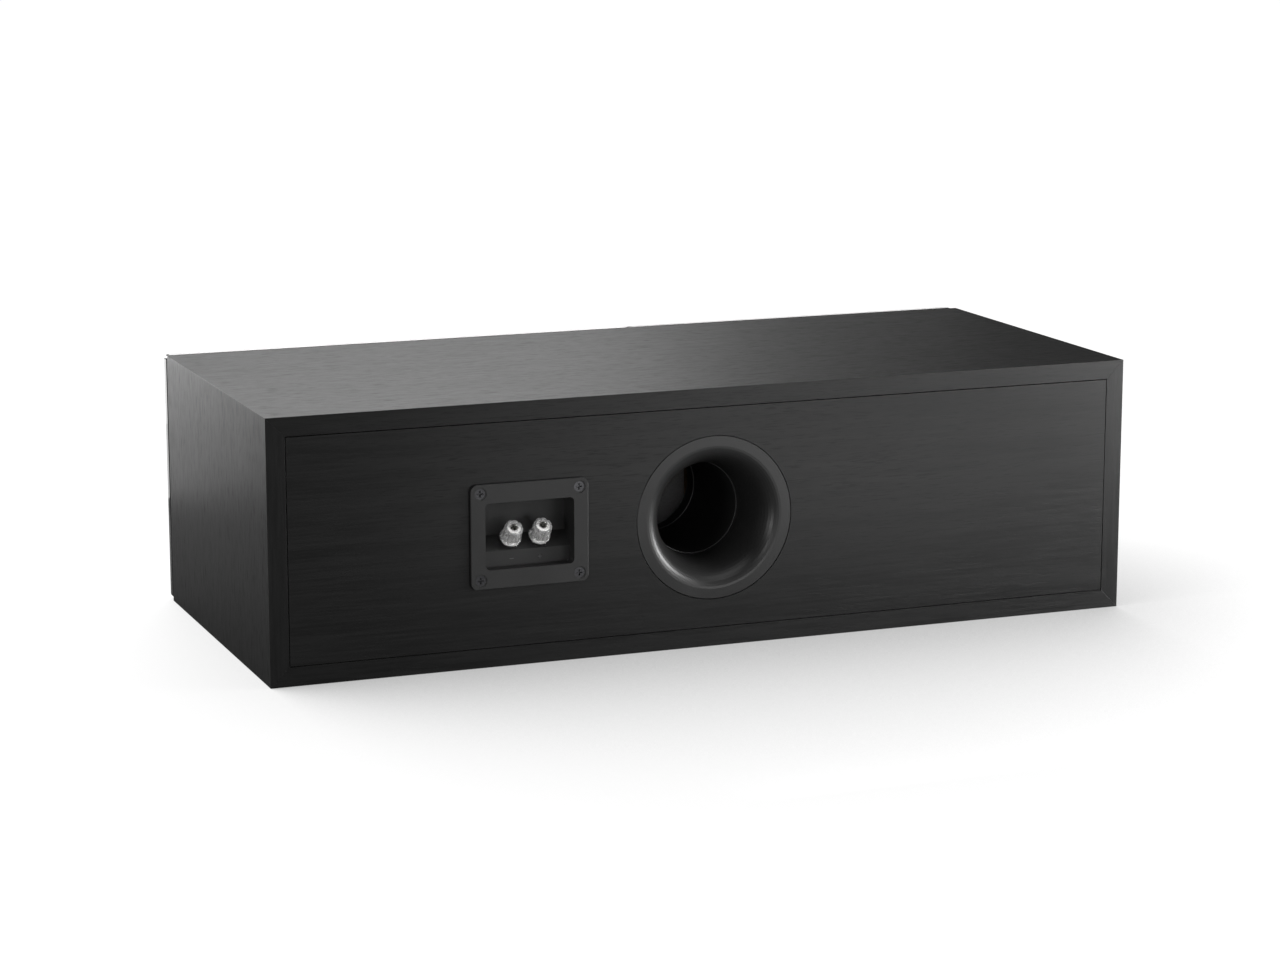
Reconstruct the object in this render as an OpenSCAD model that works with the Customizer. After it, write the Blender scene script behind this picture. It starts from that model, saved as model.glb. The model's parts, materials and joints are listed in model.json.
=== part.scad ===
// Two-way centre speaker: a low, wide, bass-reflex cabinet that lies on its long side.
// Origin: the middle of the cabinet's bottom face. +X is the left end as seen from the back,
// -Y is the listener's side (drivers), +Y is the back (port and terminals), +Z is up.

/* [Cabinet] */
// Width of the cabinet
cabinet_w = 580; // [540:1:640]
// Height of the cabinet
cabinet_h = 166; // [164:1:190]
// Depth from the face of the front panel to the back
cabinet_d = 255; // [250:1:300]
// Thickness of the four outer boards
board_t = 12; // [10:0.5:12.5]
// Thickness of the back board that fits between them
rear_panel_t = 15; // [12:1:18]
// Gap all round the back board
rear_panel_gap = 0.5; // [0.2:0.05:0.6]
// Thickness of the board that carries the drivers
baffle_t = 18; // [15:1:22]
// Thickness of the gloss panel over it
front_panel_t = 7; // [6:0.5:9]
// Open shadow line between the gloss panel and the outer boards
shadow_gap = 3.5; // [2:0.5:6]
// How much smaller the gloss panel is than the cabinet, on each side
front_panel_inset = 0.5; // [0:0.25:2]
// Corner radius of the gloss panel
front_panel_r = 3; // [1:0.5:6]
// Rounding of the gloss panel's front and back edges
front_panel_edge_r = 1.4; // [0.5:0.1:2.5]
// Side of the square battens behind the back board
batten = 12; // [8:1:14]
// Thickness of the two inner braces
brace_t = 12; // [9:1:15]
// Distance of each brace from the middle of the cabinet
brace_x = 79; // [76:1:80]
// Thickness of the foam pads
foam_t = 12; // [6:1:14]

/* [Bass drivers] */
// Distance of each bass driver from the middle of the cabinet
woofer_x = 168; // [166:1:190]
// Diameter of the driver's frame
woofer_frame_d = 138; // [136:0.5:140]
// Thickness of the frame's rim
woofer_rim_t = 4.5; // [3.5:0.25:5]
// Diameter of the hole in the baffle
woofer_cutout_d = 118; // [118:0.5:119]
// Diameter of the circle of screws
woofer_screw_pcd = 126; // [125:0.5:127]
// Screws in each bass driver
woofer_screws_n = 4; // [4:1:8]
// Thickness of the sealing ring under every driver
gasket_t = 1; // [0.5:0.25:1.5]
// Outer diameter of the surround's roll
surround_d = 105; // [102:0.5:106]
// Radius of the surround's roll
surround_roll_r = 4.2; // [3:0.1:4.4]
// Depth of the cone from its rim to its neck
cone_depth = 15; // [12:0.5:16]
// Diameter of the dust cap
dust_cap_d = 36; // [32:1:44]
// Outer diameter of the voice coil's former
coil_d = 26; // [24:0.5:27]
// Radial clearance on each side of the voice coil
coil_clearance = 0.6; // [0.4:0.05:0.8]
// Depth from the baffle's face to the back of the basket
basket_depth = 34; // [32:0.5:38]
// Thickness of the front and back steel plates
motor_plate_t = 5; // [4:0.5:7]
// Diameter of the steel plates
motor_plate_d = 72; // [66:1:78]
// Diameter of the ring magnet
magnet_d = 82; // [74:1:90]
// Thickness of the ring magnet
magnet_t = 15; // [12:1:20]

/* [Tweeter] */
// Diameter of the tweeter's face plate
tweeter_frame_d = 94; // [90:1:100]
// Thickness of the face plate
tweeter_plate_t = 4.5; // [4:0.25:5]
// Diameter of the dome
dome_d = 25; // [24:0.5:26]
// Height of the dome
dome_rise = 5; // [4:0.25:5.5]
// Diameter of the tweeter's magnet
tweeter_magnet_d = 66; // [60:1:70]
// Thickness of the tweeter's magnet
tweeter_magnet_t = 10; // [8:1:14]
// Diameter of the closed chamber behind the tweeter
chamber_d = 56; // [48:1:60]
// Depth of that chamber
chamber_depth = 22; // [15:1:30]

/* [Port] */
// Diameter of the flange, flush with the back
port_flange_d = 105; // [100:1:112]
// Thickness of the flange
port_flange_t = 3; // [2:0.5:4]
// Inner diameter of the port tube
port_bore_d = 60.8; // [56:0.2:64]
// Wall of the tube and of both flares
port_wall = 2; // [1.6:0.1:2.6]
// Width of the roll between the flat ring and the tube
port_roll_w = 15.5; // [12:0.5:17]
// Depth of the outer flare
port_flare_depth = 35.6; // [30:0.2:42]
// Length of the straight tube
port_tube_l = 70; // [50:1:84]
// Length over which each flare slides on the tube
port_socket_l = 10; // [6:1:14]
// Open joint line between the tube and each flare
port_joint_gap = 0.4; // [0.3:0.1:1]
// Straight neck of the inner flare
port_neck_l = 9.6; // [6:0.2:12]
// Width of the inner flare's roll
port_inner_roll_w = 10; // [6:0.5:14]
// Length of the inner flare's roll
port_inner_roll_l = 12; // [8:0.5:16]

/* [Terminal cup] */
// Distance of the cup from the middle of the cabinet
cup_x = 124; // [122:0.5:132]
// Width of the cup's face plate
cup_plate_w = 77; // [76:0.5:84]
// Height of the cup's face plate
cup_plate_h = 66; // [65:0.5:74]
// How far the face plate stands off its seal
cup_plate_t = 1.8; // [1.6:0.1:3]
// Corner radius of the face plate
cup_plate_r = 5; // [3:0.5:8]
// Thickness of the foam seal behind the face plate
cup_seal_t = 0.4; // [0.3:0.1:1]
// Width of the recess
recess_w = 58; // [56:0.5:60]
// Height of the recess
recess_h = 42; // [41:0.5:44]
// Corner radius of the recess
recess_r = 3; // [2:0.5:5]
// Depth of the recess above the sloping shelf
recess_depth = 15.5; // [15:0.25:18]
// Wall of the cup
cup_wall = 2.4; // [2:0.1:3]
// Width between the screws
cup_screw_w = 64.6; // [64:0.1:70]
// Height between the screws
cup_screw_h = 54.5; // [54:0.1:60]

/* [Binding posts] */
// Distance between the two posts
post_pitch = 19; // [17:0.25:21]
// Angle of the posts above level
post_tilt = 47; // [44:0.5:50]
// Depth behind the back face at which a post's axis meets the shelf
post_root_depth = 11; // [10.5:0.1:11.5]
// Drop from the cup's middle to the point where a post's axis meets the shelf
post_root_drop = 7; // [6.5:0.1:7.5]
// Run of the shelf towards the back face, from its top edge to its bottom edge
shelf_run = 9; // [8.5:0.1:9.5]
// Diameter of the threaded stud
stud_d = 6; // [5.6:0.1:6.4]
// Diameter of the socket for a banana plug
socket_d = 4; // [3.8:0.05:4.1]
// Depth of that socket
socket_depth = 11.5; // [10:0.5:12]
// Diameter of the cross hole for bare wire
wire_hole_d = 2.4; // [2:0.1:2.6]
// Turn of the wire hole about its post, from straight across the cabinet
wire_hole_turn = 20; // [5:1:40]
// Length of the stud above the shelf
stud_l = 14.2; // [13.8:0.1:14.4]
// Height of the insulating boss under each post
boss_h = 2.4; // [2:0.1:2.8]
// Diameter of the insulating boss
boss_d = 11.6; // [10.5:0.1:12]
// Thickness of the shoulder that the wire is clamped on
shoulder_t = 0.8; // [0.6:0.1:1.2]
// Thickness of the clamping washer
washer_t = 0.9; // [0.6:0.1:1.2]
// Length of the screw cap
cap_l = 11.6; // [11.5:0.1:12.5]
// Diameter of the cap's skirt
cap_skirt_d = 13.7; // [13:0.1:14.2]
// Diameter of the cap at its tip
cap_tip_d = 11.6; // [11:0.1:12]
// Grips around the cap
cap_grips_n = 8; // [6:1:10]
// Diameter of the metal core in the cap
core_d = 8.6; // [8:0.1:9]
// Radial clearance of the thread
thread_clearance = 0.08; // [0.05:0.01:0.1]

/* [Crossover] */
// Length of the circuit board
pcb_l = 118; // [116:1:122]
// Depth of the circuit board
pcb_w = 76; // [74:1:82]
// Thickness of the circuit board
pcb_t = 1.6; // [1.2:0.1:2.4]
// Height of the supports under the board
pcb_stand = 8; // [6:1:12]
// Diameter of the large coil
coil_a_d = 46; // [40:1:48]
// Height of the large coil
coil_a_h = 18; // [14:1:22]
// Diameter of the small coil
coil_b_d = 34; // [28:1:36]
// Height of the small coil
coil_b_h = 14; // [10:1:18]
// Diameter of the capacitors
capacitor_d = 17; // [14:1:18]
// Length of the capacitors
capacitor_l = 32; // [28:1:36]
// Length of the power resistors
resistor_l = 46; // [40:1:48]
// Side of the power resistors
resistor_side = 10; // [8:0.5:11]
// Diameter of the insulated internal leads
lead_d = 2.6; // [2:0.1:3]

/* [Hidden] */
$fn = 96;

// Static fits and small repeated sizes
fit = 0.1;
curve_steps = 16;
corner_steps = 6;

// Levels of the cabinet along Y, front to back
front_y = -cabinet_d / 2;
baffle_y = front_y + front_panel_t;
boards_y = baffle_y + shadow_gap;
baffle_back_y = baffle_y + baffle_t;
rear_y = cabinet_d / 2;
rear_panel_y = rear_y - rear_panel_t;
battens_y = rear_panel_y - batten;
mid_z = cabinet_h / 2;
inner_w = cabinet_w - 2 * board_t;
inner_h = cabinet_h - 2 * board_t;
roof_z = cabinet_h - board_t;

// Bass driver: radii, and levels behind the baffle's face
woofer_r = woofer_frame_d / 2;
woofer_cutout_r = woofer_cutout_d / 2;
rim_front = -gasket_t - woofer_rim_t;
panel_hole_gap = 0.5;
basket_metal = 2.4;
basket_wall_r = woofer_cutout_r - 0.5;
seat_h = -1.8;
seat_outer_r = surround_d / 2 + 4.5;
ledge_h = 17;
ledge_r = 47;
ledge_inner_r = 38.5;
basket_vents_n = 6;
basket_arm_w = 13;
basket_vent_edge = 1.5;
surround_t = 0.5;
surround_inner_r = surround_d / 2 - 2 * surround_roll_r;
surround_glue_w = 2.4;
cone_r = surround_inner_r - 0.2;
cone_t = 0.7;
cone_bend = 1.25;
former_r = coil_d / 2;
former_wall = 0.35;
winding_t = 0.6;
winding_l = 12;
former_tail = 1;
pole_r = former_r - former_wall - coil_clearance;
gap_r = former_r + winding_t + coil_clearance;
pole_vent_r = 4;
magnet_hole_r = 19;
plate_chamfer = 1.2;
cap_t = 0.6;
dust_cap_rise = 7;
spider_t = 0.5;
spider_wave = 1.1;
spider_waves_n = 5;
spider_flat = 3;

// Driver and cup screws: pan of the head, shank and length
screw_head_r = 3.6;
screw_head_h = 2.2;
screw_shank_r = 1.8;
screw_l = 16;
screw_cross_l = 4;
screw_cross_w = 0.9;
screw_cross_h = 1.2;

// Tweeter levels behind the baffle's face
tweeter_r = tweeter_frame_d / 2;
tweeter_cutout_r = tweeter_magnet_d / 2 + 1.5;
tweeter_screw_r = tweeter_r - 6;
tweeter_screws_n = 4;
tweeter_front = -gasket_t - tweeter_plate_t;
tweeter_back = -gasket_t;
horn_mouth_r = 29;
horn_throat_r = dome_d / 2 + 3.6;
horn_depth = 2.6;
dome_r = dome_d / 2;
dome_t = 0.3;
dome_base = tweeter_front + horn_depth + 0.6;
dome_former_l = 6;
dome_former_wall = 0.3;
dome_gap = 0.45;
tweeter_steel_t = 3.5;

// Port radii
flange_r = port_flange_d / 2;
port_r = port_bore_d / 2;
tube_r = port_r + port_wall;
socket_r = tube_r + fit;
socket_outer_r = socket_r + port_wall;
port_seat_w = 6;
port_rim_gap = 0.25;
port_bevel = 0.4;
tube_start = port_flare_depth + port_joint_gap;
tube_end = tube_start + port_tube_l;
inner_flare_start = tube_end + port_joint_gap;
inner_flare_end = inner_flare_start + port_neck_l + port_inner_roll_l;

// Terminal cup levels
cup_face_y = rear_y + cup_seal_t + cup_plate_t;
cup_edge_r = 0.6;
cup_hole_gap = 0.6;
root_y = rear_y - post_root_depth;
root_z = mid_z - post_root_drop;
upper_wall_y = rear_y - recess_depth;
lower_wall_y = upper_wall_y + shelf_run;
recess_top_z = mid_z + recess_h / 2;
recess_bottom_z = mid_z - recess_h / 2;
cup_screw_head_r = 3.3;
cup_screw_head_h = 1.6;
cup_screw_shank_r = 1.5;
cup_screw_l = 13;
cup_well_r = 4.2;
cup_well_h = 0.35;

// Binding posts, measured along each post's axis from the shelf
stud_r = stud_d / 2;
shoulder_r = 4.8;
washer_h = boss_h + shoulder_t;
washer_r = 5;
cap_h = washer_h + washer_t;
cap_top = cap_h + cap_l;
core_r = core_d / 2;
core_lip = 1.2;
core_mouth_r = socket_d / 2 + 0.35;
skirt_l = 2.4;
grip_r = 1.05;
grip_depth = 0.55;
tag_t = 0.8;
tag_r = 4.8;
tag_l = 13;
tag_w = 5;
nut_h = 4.5;
nut_across = 10;
stud_tail = 1.5;
stud_back = cup_wall + tag_t + nut_h + stud_tail;

// Crossover board and the parts on it
pcb_x = woofer_x;
pcb_y = 47;
pcb_top = board_t + pcb_stand + pcb_t;
pcb_inset = 6;
support_r = 3.6;
support_pin_r = 1.4;
support_head_r = 2.3;
support_head_h = 1.5;
coil_hole_r = 9;
coil_edge = 2;
coil_edge_gap = 3;
resistor_gap = 4;

// Foam pads and the windows of the braces
foam_gap = 2;
brace_windows_n = 3;
brace_rim = 16;
brace_bar = 14;
brace_window_r = 8;

// Where the leads run: pairs from the solder tags to the board, and from the board to each driver
pcb_front = pcb_y - pcb_w / 2;
pcb_rear = pcb_y + pcb_w / 2;
input_route = [
    [0, root_y - 11.5, root_z + 4.5], [0, root_y - 16.5, root_z + 2], [0, root_y - 22.5, root_z - 10],
    [0, pcb_rear + 3, pcb_top + 24.4], [0, pcb_rear - 1, pcb_top + 11.4],
    [0, pcb_rear - 2.5, pcb_top + 5.4], [0, pcb_rear - 2.5, pcb_top + 0.4]
];
left_route = [
    [pcb_x + 35, pcb_front + 4, pcb_top + 0.4], [pcb_x + 35, pcb_front + 3, pcb_top + 5.4],
    [pcb_x + 36, pcb_front - 7, 32], [woofer_x + 38, -20, 40],
    [woofer_x + 38, baffle_back_y + 54.5, 48], [woofer_x + 34, baffle_back_y + 30.5, mid_z - 31],
    [woofer_x + 30, baffle_back_y + 9.5, mid_z - 30]
];
tweeter_route = [
    [pcb_x - 13, pcb_front + 4, pcb_top + 0.4], [pcb_x - 13, pcb_front + 3, pcb_top + 6.4],
    [pcb_x - 17, pcb_front - 6, 36], [138, -6, 46], [110, -9, 52], [88, -10, 56], [66, -14, 62],
    [50, baffle_back_y + 62.5, mid_z - 14], [36, baffle_back_y + 32.5, mid_z - 8],
    [30, baffle_back_y + 14.5, mid_z - 4]
];
right_route = [
    [pcb_x - 5, pcb_front + 4, pcb_top + 0.4], [pcb_x - 5, pcb_front + 2, pcb_top + 4.4],
    [pcb_x - 10, pcb_front - 11, 30], [142, -10, 34], [110, -12, 38], [88, -11, 40], [40, -22, 36],
    [-20, -26, 34], [-80, -12, 42], [56 - woofer_x, -30, 49],
    [37 - woofer_x, baffle_back_y + 36.5, mid_z - 32], [30 - woofer_x, baffle_back_y + 10.5, mid_z - 30]
];
pair_step = 1.06 * lead_d;
lead_sides = 8;
lead_steps = 4;

// ---------- Helpers ----------

// A flat outline drawn in X and Z, made solid between two levels of Y
module along_y(y0, y1) {
    translate([0, y1, 0]) rotate([90, 0, 0]) linear_extrude(y1 - y0) children();
}

// A flat outline drawn in Y and Z, made solid between two levels of X
module along_x(x0, x1) {
    translate([x0, 0, 0]) rotate([90, 0, 90]) linear_extrude(x1 - x0) children();
}

// A flat outline drawn in X and Y, made solid between two levels of Z
module along_z(z0, z1) {
    translate([0, 0, z0]) linear_extrude(z1 - z0) children();
}

// Stands what is drawn along +Z on a plane facing back, so that +Z points into the cabinet
module from_back(x, y, z) {
    translate([x, y, z]) rotate([90, 0, 0]) children();
}

// The same on a plane facing the listener
module from_front(x, y, z) {
    translate([x, y, z]) rotate([-90, 0, 0]) children();
}

// Places what is drawn along +Z on a binding post's axis, with its zero on the shelf
module on_post(x) {
    translate([x, root_y, root_z]) rotate([post_tilt - 90, 0, 0]) children();
}

// Corner points of a rectangle with rounded corners, centred on the origin
function round_rect(w, h, r) = [
    for (quarter = [0:3], step = [0:corner_steps])
        let (
            sx = (quarter == 0 || quarter == 3) ? 1 : -1,
            sy = (quarter < 2) ? 1 : -1,
            angle = 90 * (quarter + step / corner_steps)
        )
        [sx * (w / 2 - r) + r * cos(angle), sy * (h / 2 - r) + r * sin(angle)]
];

// A rounded plate standing in X and Z, with its long edges rounded too
module soft_plate(w, h, r, edge_r, y0, y1, x = 0, z = 0) {
    depth = y1 - y0;
    intersection() {
        along_y(y0, y1) translate([x, z]) polygon(round_rect(w, h, r));
        along_x(x - w / 2, x + w / 2) translate([(y0 + y1) / 2, z]) polygon(round_rect(depth, h, edge_r));
        along_z(z - h / 2, z + h / 2) translate([x, (y0 + y1) / 2]) polygon(round_rect(w, depth, edge_r));
    }
}

// A tube with its own bore, along +Z from a to b
module ring(outer_r, inner_r, a, b) {
    difference() {
        translate([0, 0, a]) cylinder(r = outer_r, h = b - a);
        translate([0, 0, a - 1]) cylinder(r = inner_r, h = b - a + 2);
    }
}

// Repeats what it holds evenly around +Z
module around(n, start = 0) {
    for (i = [0:n - 1]) rotate([0, 0, start + 360 * i / n]) children();
}

// ---------- Cabinet boards ----------

// One mitred board of the sleeve: length across, seen from the back, lying at the bottom
module mitred_board(length) {
    along_y(boards_y, rear_y)
        polygon([
            [-length / 2, 0], [length / 2, 0],
            [length / 2 - board_t, board_t], [board_t - length / 2, board_t]
        ]);
}

module cabinet_bottom() color("#2f2e2d") mitred_board(cabinet_w);

module cabinet_top() color("#343332")
    translate([0, 0, cabinet_h]) mirror([0, 0, 1]) mitred_board(cabinet_w);

module side_board() {
    translate([cabinet_w / 2, 0, mid_z]) rotate([0, -90, 0]) mitred_board(cabinet_h);
}

module cabinet_left_side() color("#383736") side_board();

module cabinet_right_side() color("#383736") mirror([1, 0, 0]) side_board();

// Outline of the hole that the cup's shell goes through
module cup_hole() {
    clear = 2 * cup_wall + cup_hole_gap;
    translate([cup_x, mid_z]) square([recess_w + clear, recess_h + clear], center = true);
}

module rear_panel() color("#302f2e") difference() {
    along_y(rear_panel_y, rear_y) translate([0, mid_z])
        square([inner_w - 2 * rear_panel_gap, inner_h - 2 * rear_panel_gap], center = true);
    from_back(0, rear_y, mid_z) {
        translate([0, 0, -1]) cylinder(r = flange_r + port_rim_gap, h = port_flange_t + 1);
        cylinder(r = flange_r - port_seat_w, h = rear_panel_t + 1);
    }
    along_y(rear_panel_y - 1, rear_y + 1) cup_hole();
    cup_screw_places() translate([0, 0, -1])
        cylinder(r = cup_screw_shank_r + fit / 2, h = rear_panel_t + 2);
}

module rear_battens() color("#8a6a45") {
    for (z = [board_t, roof_z - batten])
        translate([-inner_w / 2, battens_y, z]) cube([inner_w, batten, batten]);
    for (x = [-inner_w / 2, inner_w / 2 - batten])
        translate([x, battens_y, board_t + batten]) cube([batten, batten, inner_h - 2 * batten]);
}

module pilot_hole() {
    translate([0, 0, -1]) cylinder(r = screw_shank_r + fit / 2, h = baffle_t + 2);
}

module front_baffle() color("#1d1d1d") difference() {
    along_y(baffle_y, baffle_back_y) translate([0, mid_z]) square([inner_w, inner_h], center = true);
    for (side = [-1, 1]) from_front(side * woofer_x, baffle_y, mid_z) {
        translate([0, 0, -1]) cylinder(r = woofer_cutout_r, h = baffle_t + 2);
        screw_ring(woofer_screw_pcd / 2, woofer_screws_n) pilot_hole();
    }
    from_front(0, baffle_y, mid_z) {
        translate([0, 0, -1]) cylinder(r = tweeter_cutout_r, h = baffle_t + 2);
        screw_ring(tweeter_screw_r, tweeter_screws_n) pilot_hole();
    }
}

module front_panel() color("#0e0e0f") difference() {
    soft_plate(cabinet_w - 2 * front_panel_inset, cabinet_h - 2 * front_panel_inset, front_panel_r,
        front_panel_edge_r, front_y, baffle_y, 0, mid_z);
    for (side = [-1, 1]) from_front(side * woofer_x, front_y - 1, mid_z)
        cylinder(r = woofer_r + panel_hole_gap, h = front_panel_t + 2);
    from_front(0, front_y - 1, mid_z) cylinder(r = tweeter_r + panel_hole_gap, h = front_panel_t + 2);
}

module cabinet_braces() color("#a07c50") for (side = [-1, 1]) {
    span = battens_y - baffle_back_y - 2 * brace_rim;
    window_w = (span - (brace_windows_n - 1) * brace_bar) / brace_windows_n;
    difference() {
        translate([side * brace_x - brace_t / 2, baffle_back_y, board_t])
            cube([brace_t, rear_panel_y - baffle_back_y, inner_h]);
        for (z = [board_t - 1, roof_z - batten])
            translate([side * brace_x - brace_t, battens_y, z]) cube([2 * brace_t, batten + 1, batten + 1]);
        for (i = [0:brace_windows_n - 1])
            along_x(side * brace_x - brace_t, side * brace_x + brace_t)
                translate([baffle_back_y + brace_rim + window_w / 2 + i * (window_w + brace_bar), mid_z])
                    polygon(round_rect(window_w, inner_h - 2 * brace_rim, brace_window_r));
    }
}

module damping_pads() color("#4a4c50") {
    pad_y0 = baffle_back_y + foam_gap;
    pad_l = battens_y - foam_gap - pad_y0;
    top_x0 = brace_x + brace_t / 2 + foam_gap;
    top_w = inner_w / 2 - foam_t - foam_gap - top_x0;
    for (side = [-1, 1]) {
        translate([side * (inner_w - foam_t) / 2 - foam_t / 2, pad_y0, board_t + foam_gap])
            cube([foam_t, pad_l, inner_h - 2 * foam_gap]);
        translate([side * (top_x0 + top_w / 2) - top_w / 2, pad_y0, roof_z - foam_t])
            cube([top_w, pad_l, foam_t]);
    }
}

// ---------- Port ----------

// Inner radius of a roll that meets a tube of radius r smoothly, at a share of its length from the tube
function roll_r(r, width, share) = r + width * (1 - sqrt(1 - share * share));

module port_flare() color("#3c3c3c") from_back(0, rear_y, mid_z) rotate_extrude() {
    inside = [
        for (i = [0:curve_steps]) let (share = 1 - i / curve_steps, bend = sin(90 * share))
            [roll_r(port_r, port_roll_w, bend), port_flare_depth * (1 - bend)]
    ];
    outside = [
        for (i = [curve_steps:-1:0]) let (share = 1 - i / curve_steps, bend = sin(90 * share))
            [max(socket_outer_r, roll_r(port_r, port_roll_w, bend) + port_wall / 2),
                max(port_flange_t, port_flare_depth * (1 - bend) + port_wall)]
    ];
    body = [
        for (p = outside) if (p[1] > port_flange_t && p[1] < port_flare_depth) p
    ];
    polygon(concat(
        inside,
        [
            [socket_r, port_flare_depth], [socket_r, port_flare_depth + port_socket_l],
            [socket_outer_r, port_flare_depth + port_socket_l], [socket_outer_r, port_flare_depth]
        ],
        body,
        [
            [port_r + port_roll_w, port_flange_t], [flange_r, port_flange_t],
            [flange_r, port_bevel], [flange_r - port_bevel, 0]
        ]
    ));
}

module port_tube() color("#141414") from_back(0, rear_y, mid_z)
    ring(tube_r, port_r, tube_start, tube_end);

module port_inner_flare() color("#2a2a2a") from_back(0, rear_y, mid_z) rotate_extrude() {
    roll_start = inner_flare_start + port_neck_l;
    roll = [
        for (i = [0:curve_steps]) let (bend = sin(90 * i / curve_steps))
            [roll_r(port_r, port_inner_roll_w, bend), roll_start + port_inner_roll_l * bend]
    ];
    back = [
        for (i = [curve_steps:-1:0]) let (bend = sin(90 * i / curve_steps))
            [roll_r(port_r, port_inner_roll_w, bend) + port_wall, roll_start + port_inner_roll_l * bend]
    ];
    polygon(concat(
        [[port_r, inner_flare_start]],
        roll,
        [for (p = back) if (p[0] > socket_outer_r) p],
        [
            [socket_outer_r, roll_start], [socket_outer_r, inner_flare_start - port_socket_l],
            [socket_r, inner_flare_start - port_socket_l], [socket_r, inner_flare_start]
        ]
    ));
}

// ---------- Terminal cup ----------

module cup_screw_places() {
    for (sx = [-1, 1], sz = [-1, 1])
        from_back(cup_x + sx * cup_screw_w / 2, rear_y, mid_z + sz * cup_screw_h / 2) children();
}

// Height of the sloping shelf at a level of Y, or of a plane that lies deeper by off
function shelf_z(y, off = 0) =
    root_z - off * sin(post_tilt) + (root_y - off * cos(post_tilt) - y) / tan(post_tilt);

// Side view of the recess, or of the shell around it with off as the wall
module recess_side(off) {
    back_y = upper_wall_y - off;
    low_y = lower_wall_y - off;
    polygon([
        [cup_face_y + 1 - off, recess_bottom_z - off], [cup_face_y + 1 - off, recess_top_z + off],
        [back_y, recess_top_z + off], [back_y, shelf_z(back_y, off)],
        [low_y, shelf_z(low_y, off)], [low_y, recess_bottom_z - off]
    ]);
}

// The recess as a solid, or the shell's outside with off as the wall
module recess_block(off) {
    intersection() {
        along_y(rear_y - cabinet_d / 4, cup_face_y + 1) translate([cup_x, mid_z])
            polygon(round_rect(recess_w + 2 * off, recess_h + 2 * off, recess_r + off));
        along_x(cup_x - recess_w, cup_x + recess_w) recess_side(off);
    }
}

module terminal_cup() color("#343434") difference() {
    union() {
        difference() {
            union() {
                soft_plate(cup_plate_w, cup_plate_h, cup_plate_r, cup_edge_r,
                    rear_y + cup_seal_t, cup_face_y, cup_x, mid_z);
                intersection() {
                    recess_block(cup_wall);
                    along_y(rear_y - cabinet_d / 4, rear_y + cup_seal_t + cup_plate_t / 2)
                        translate([cup_x, mid_z]) square(cup_plate_w, center = true);
                }
            }
            recess_block(0);
        }
        for (side = [-1, 1]) on_post(cup_x + side * post_pitch / 2)
            translate([0, 0, -cup_wall / 2]) cylinder(d = boss_d, h = cup_wall / 2 + boss_h);
    }
    for (side = [-1, 1]) on_post(cup_x + side * post_pitch / 2)
        translate([0, 0, -2 * cup_wall]) cylinder(r = stud_r + fit, h = 2 * cup_wall + boss_h + 1);
    cup_screw_places() {
        translate([0, 0, rear_y - cup_face_y - 1]) cylinder(r = cup_well_r, h = 1 + cup_well_h);
        translate([0, 0, rear_y - cup_face_y + cup_well_h - 0.01]) rotate_extrude() polygon([
            [0, 0], [cup_screw_head_r + fit, 0],
            [cup_screw_shank_r + fit, cup_screw_head_h], [cup_screw_shank_r + fit, cup_plate_t + 1],
            [0, cup_plate_t + 1]
        ]);
    }
}

module terminal_seal() color("#181818") difference() {
    along_y(rear_y, rear_y + cup_seal_t) translate([cup_x, mid_z]) difference() {
        polygon(round_rect(cup_plate_w - 2 * cup_edge_r, cup_plate_h - 2 * cup_edge_r, cup_plate_r));
        translate([-cup_x, -mid_z]) cup_hole();
    }
    cup_screw_places() translate([0, 0, -2]) cylinder(r = cup_screw_head_r, h = 4);
}

// Countersunk cross-head screw with its head's top at zero, pointing along +Z
module countersunk_screw(head_r, head_h, shank_r, length) {
    point_l = 2 * shank_r;
    difference() {
        rotate_extrude() polygon([
            [0, 0], [head_r, 0], [shank_r, head_h], [shank_r, length - point_l], [0, length]
        ]);
        for (turn = [0, 90]) rotate([0, 0, turn])
            translate([-screw_cross_l / 2, -screw_cross_w / 2, -1])
                cube([screw_cross_l, screw_cross_w, 1 + screw_cross_h]);
    }
}

module terminal_screws() color("#26262a") cup_screw_places()
    translate([0, 0, rear_y - cup_face_y + cup_well_h])
        countersunk_screw(cup_screw_head_r, cup_screw_head_h, cup_screw_shank_r, cup_screw_l);

// ---------- Binding posts ----------

positive_x = cup_x - post_pitch / 2;
negative_x = cup_x + post_pitch / 2;

// Hollow threaded stud: banana socket in its end, cross hole for wire, shoulder on the boss
module post_stud(x) color("#b9b4a6") on_post(x) difference() {
    union() {
        translate([0, 0, -stud_back]) cylinder(r = stud_r, h = stud_back + stud_l);
        translate([0, 0, boss_h]) cylinder(r = shoulder_r, h = shoulder_t);
    }
    translate([0, 0, stud_l - socket_depth]) cylinder(d = socket_d, h = socket_depth + 1);
    rotate([0, 0, wire_hole_turn]) translate([-stud_d, 0, washer_h + wire_hole_d / 2]) rotate([0, 90, 0])
        cylinder(d = wire_hole_d, h = 2 * stud_d);
}

module post_washer(x) color("#c9c9cb") on_post(x)
    ring(washer_r, stud_r + thread_clearance, washer_h, cap_h);

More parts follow.
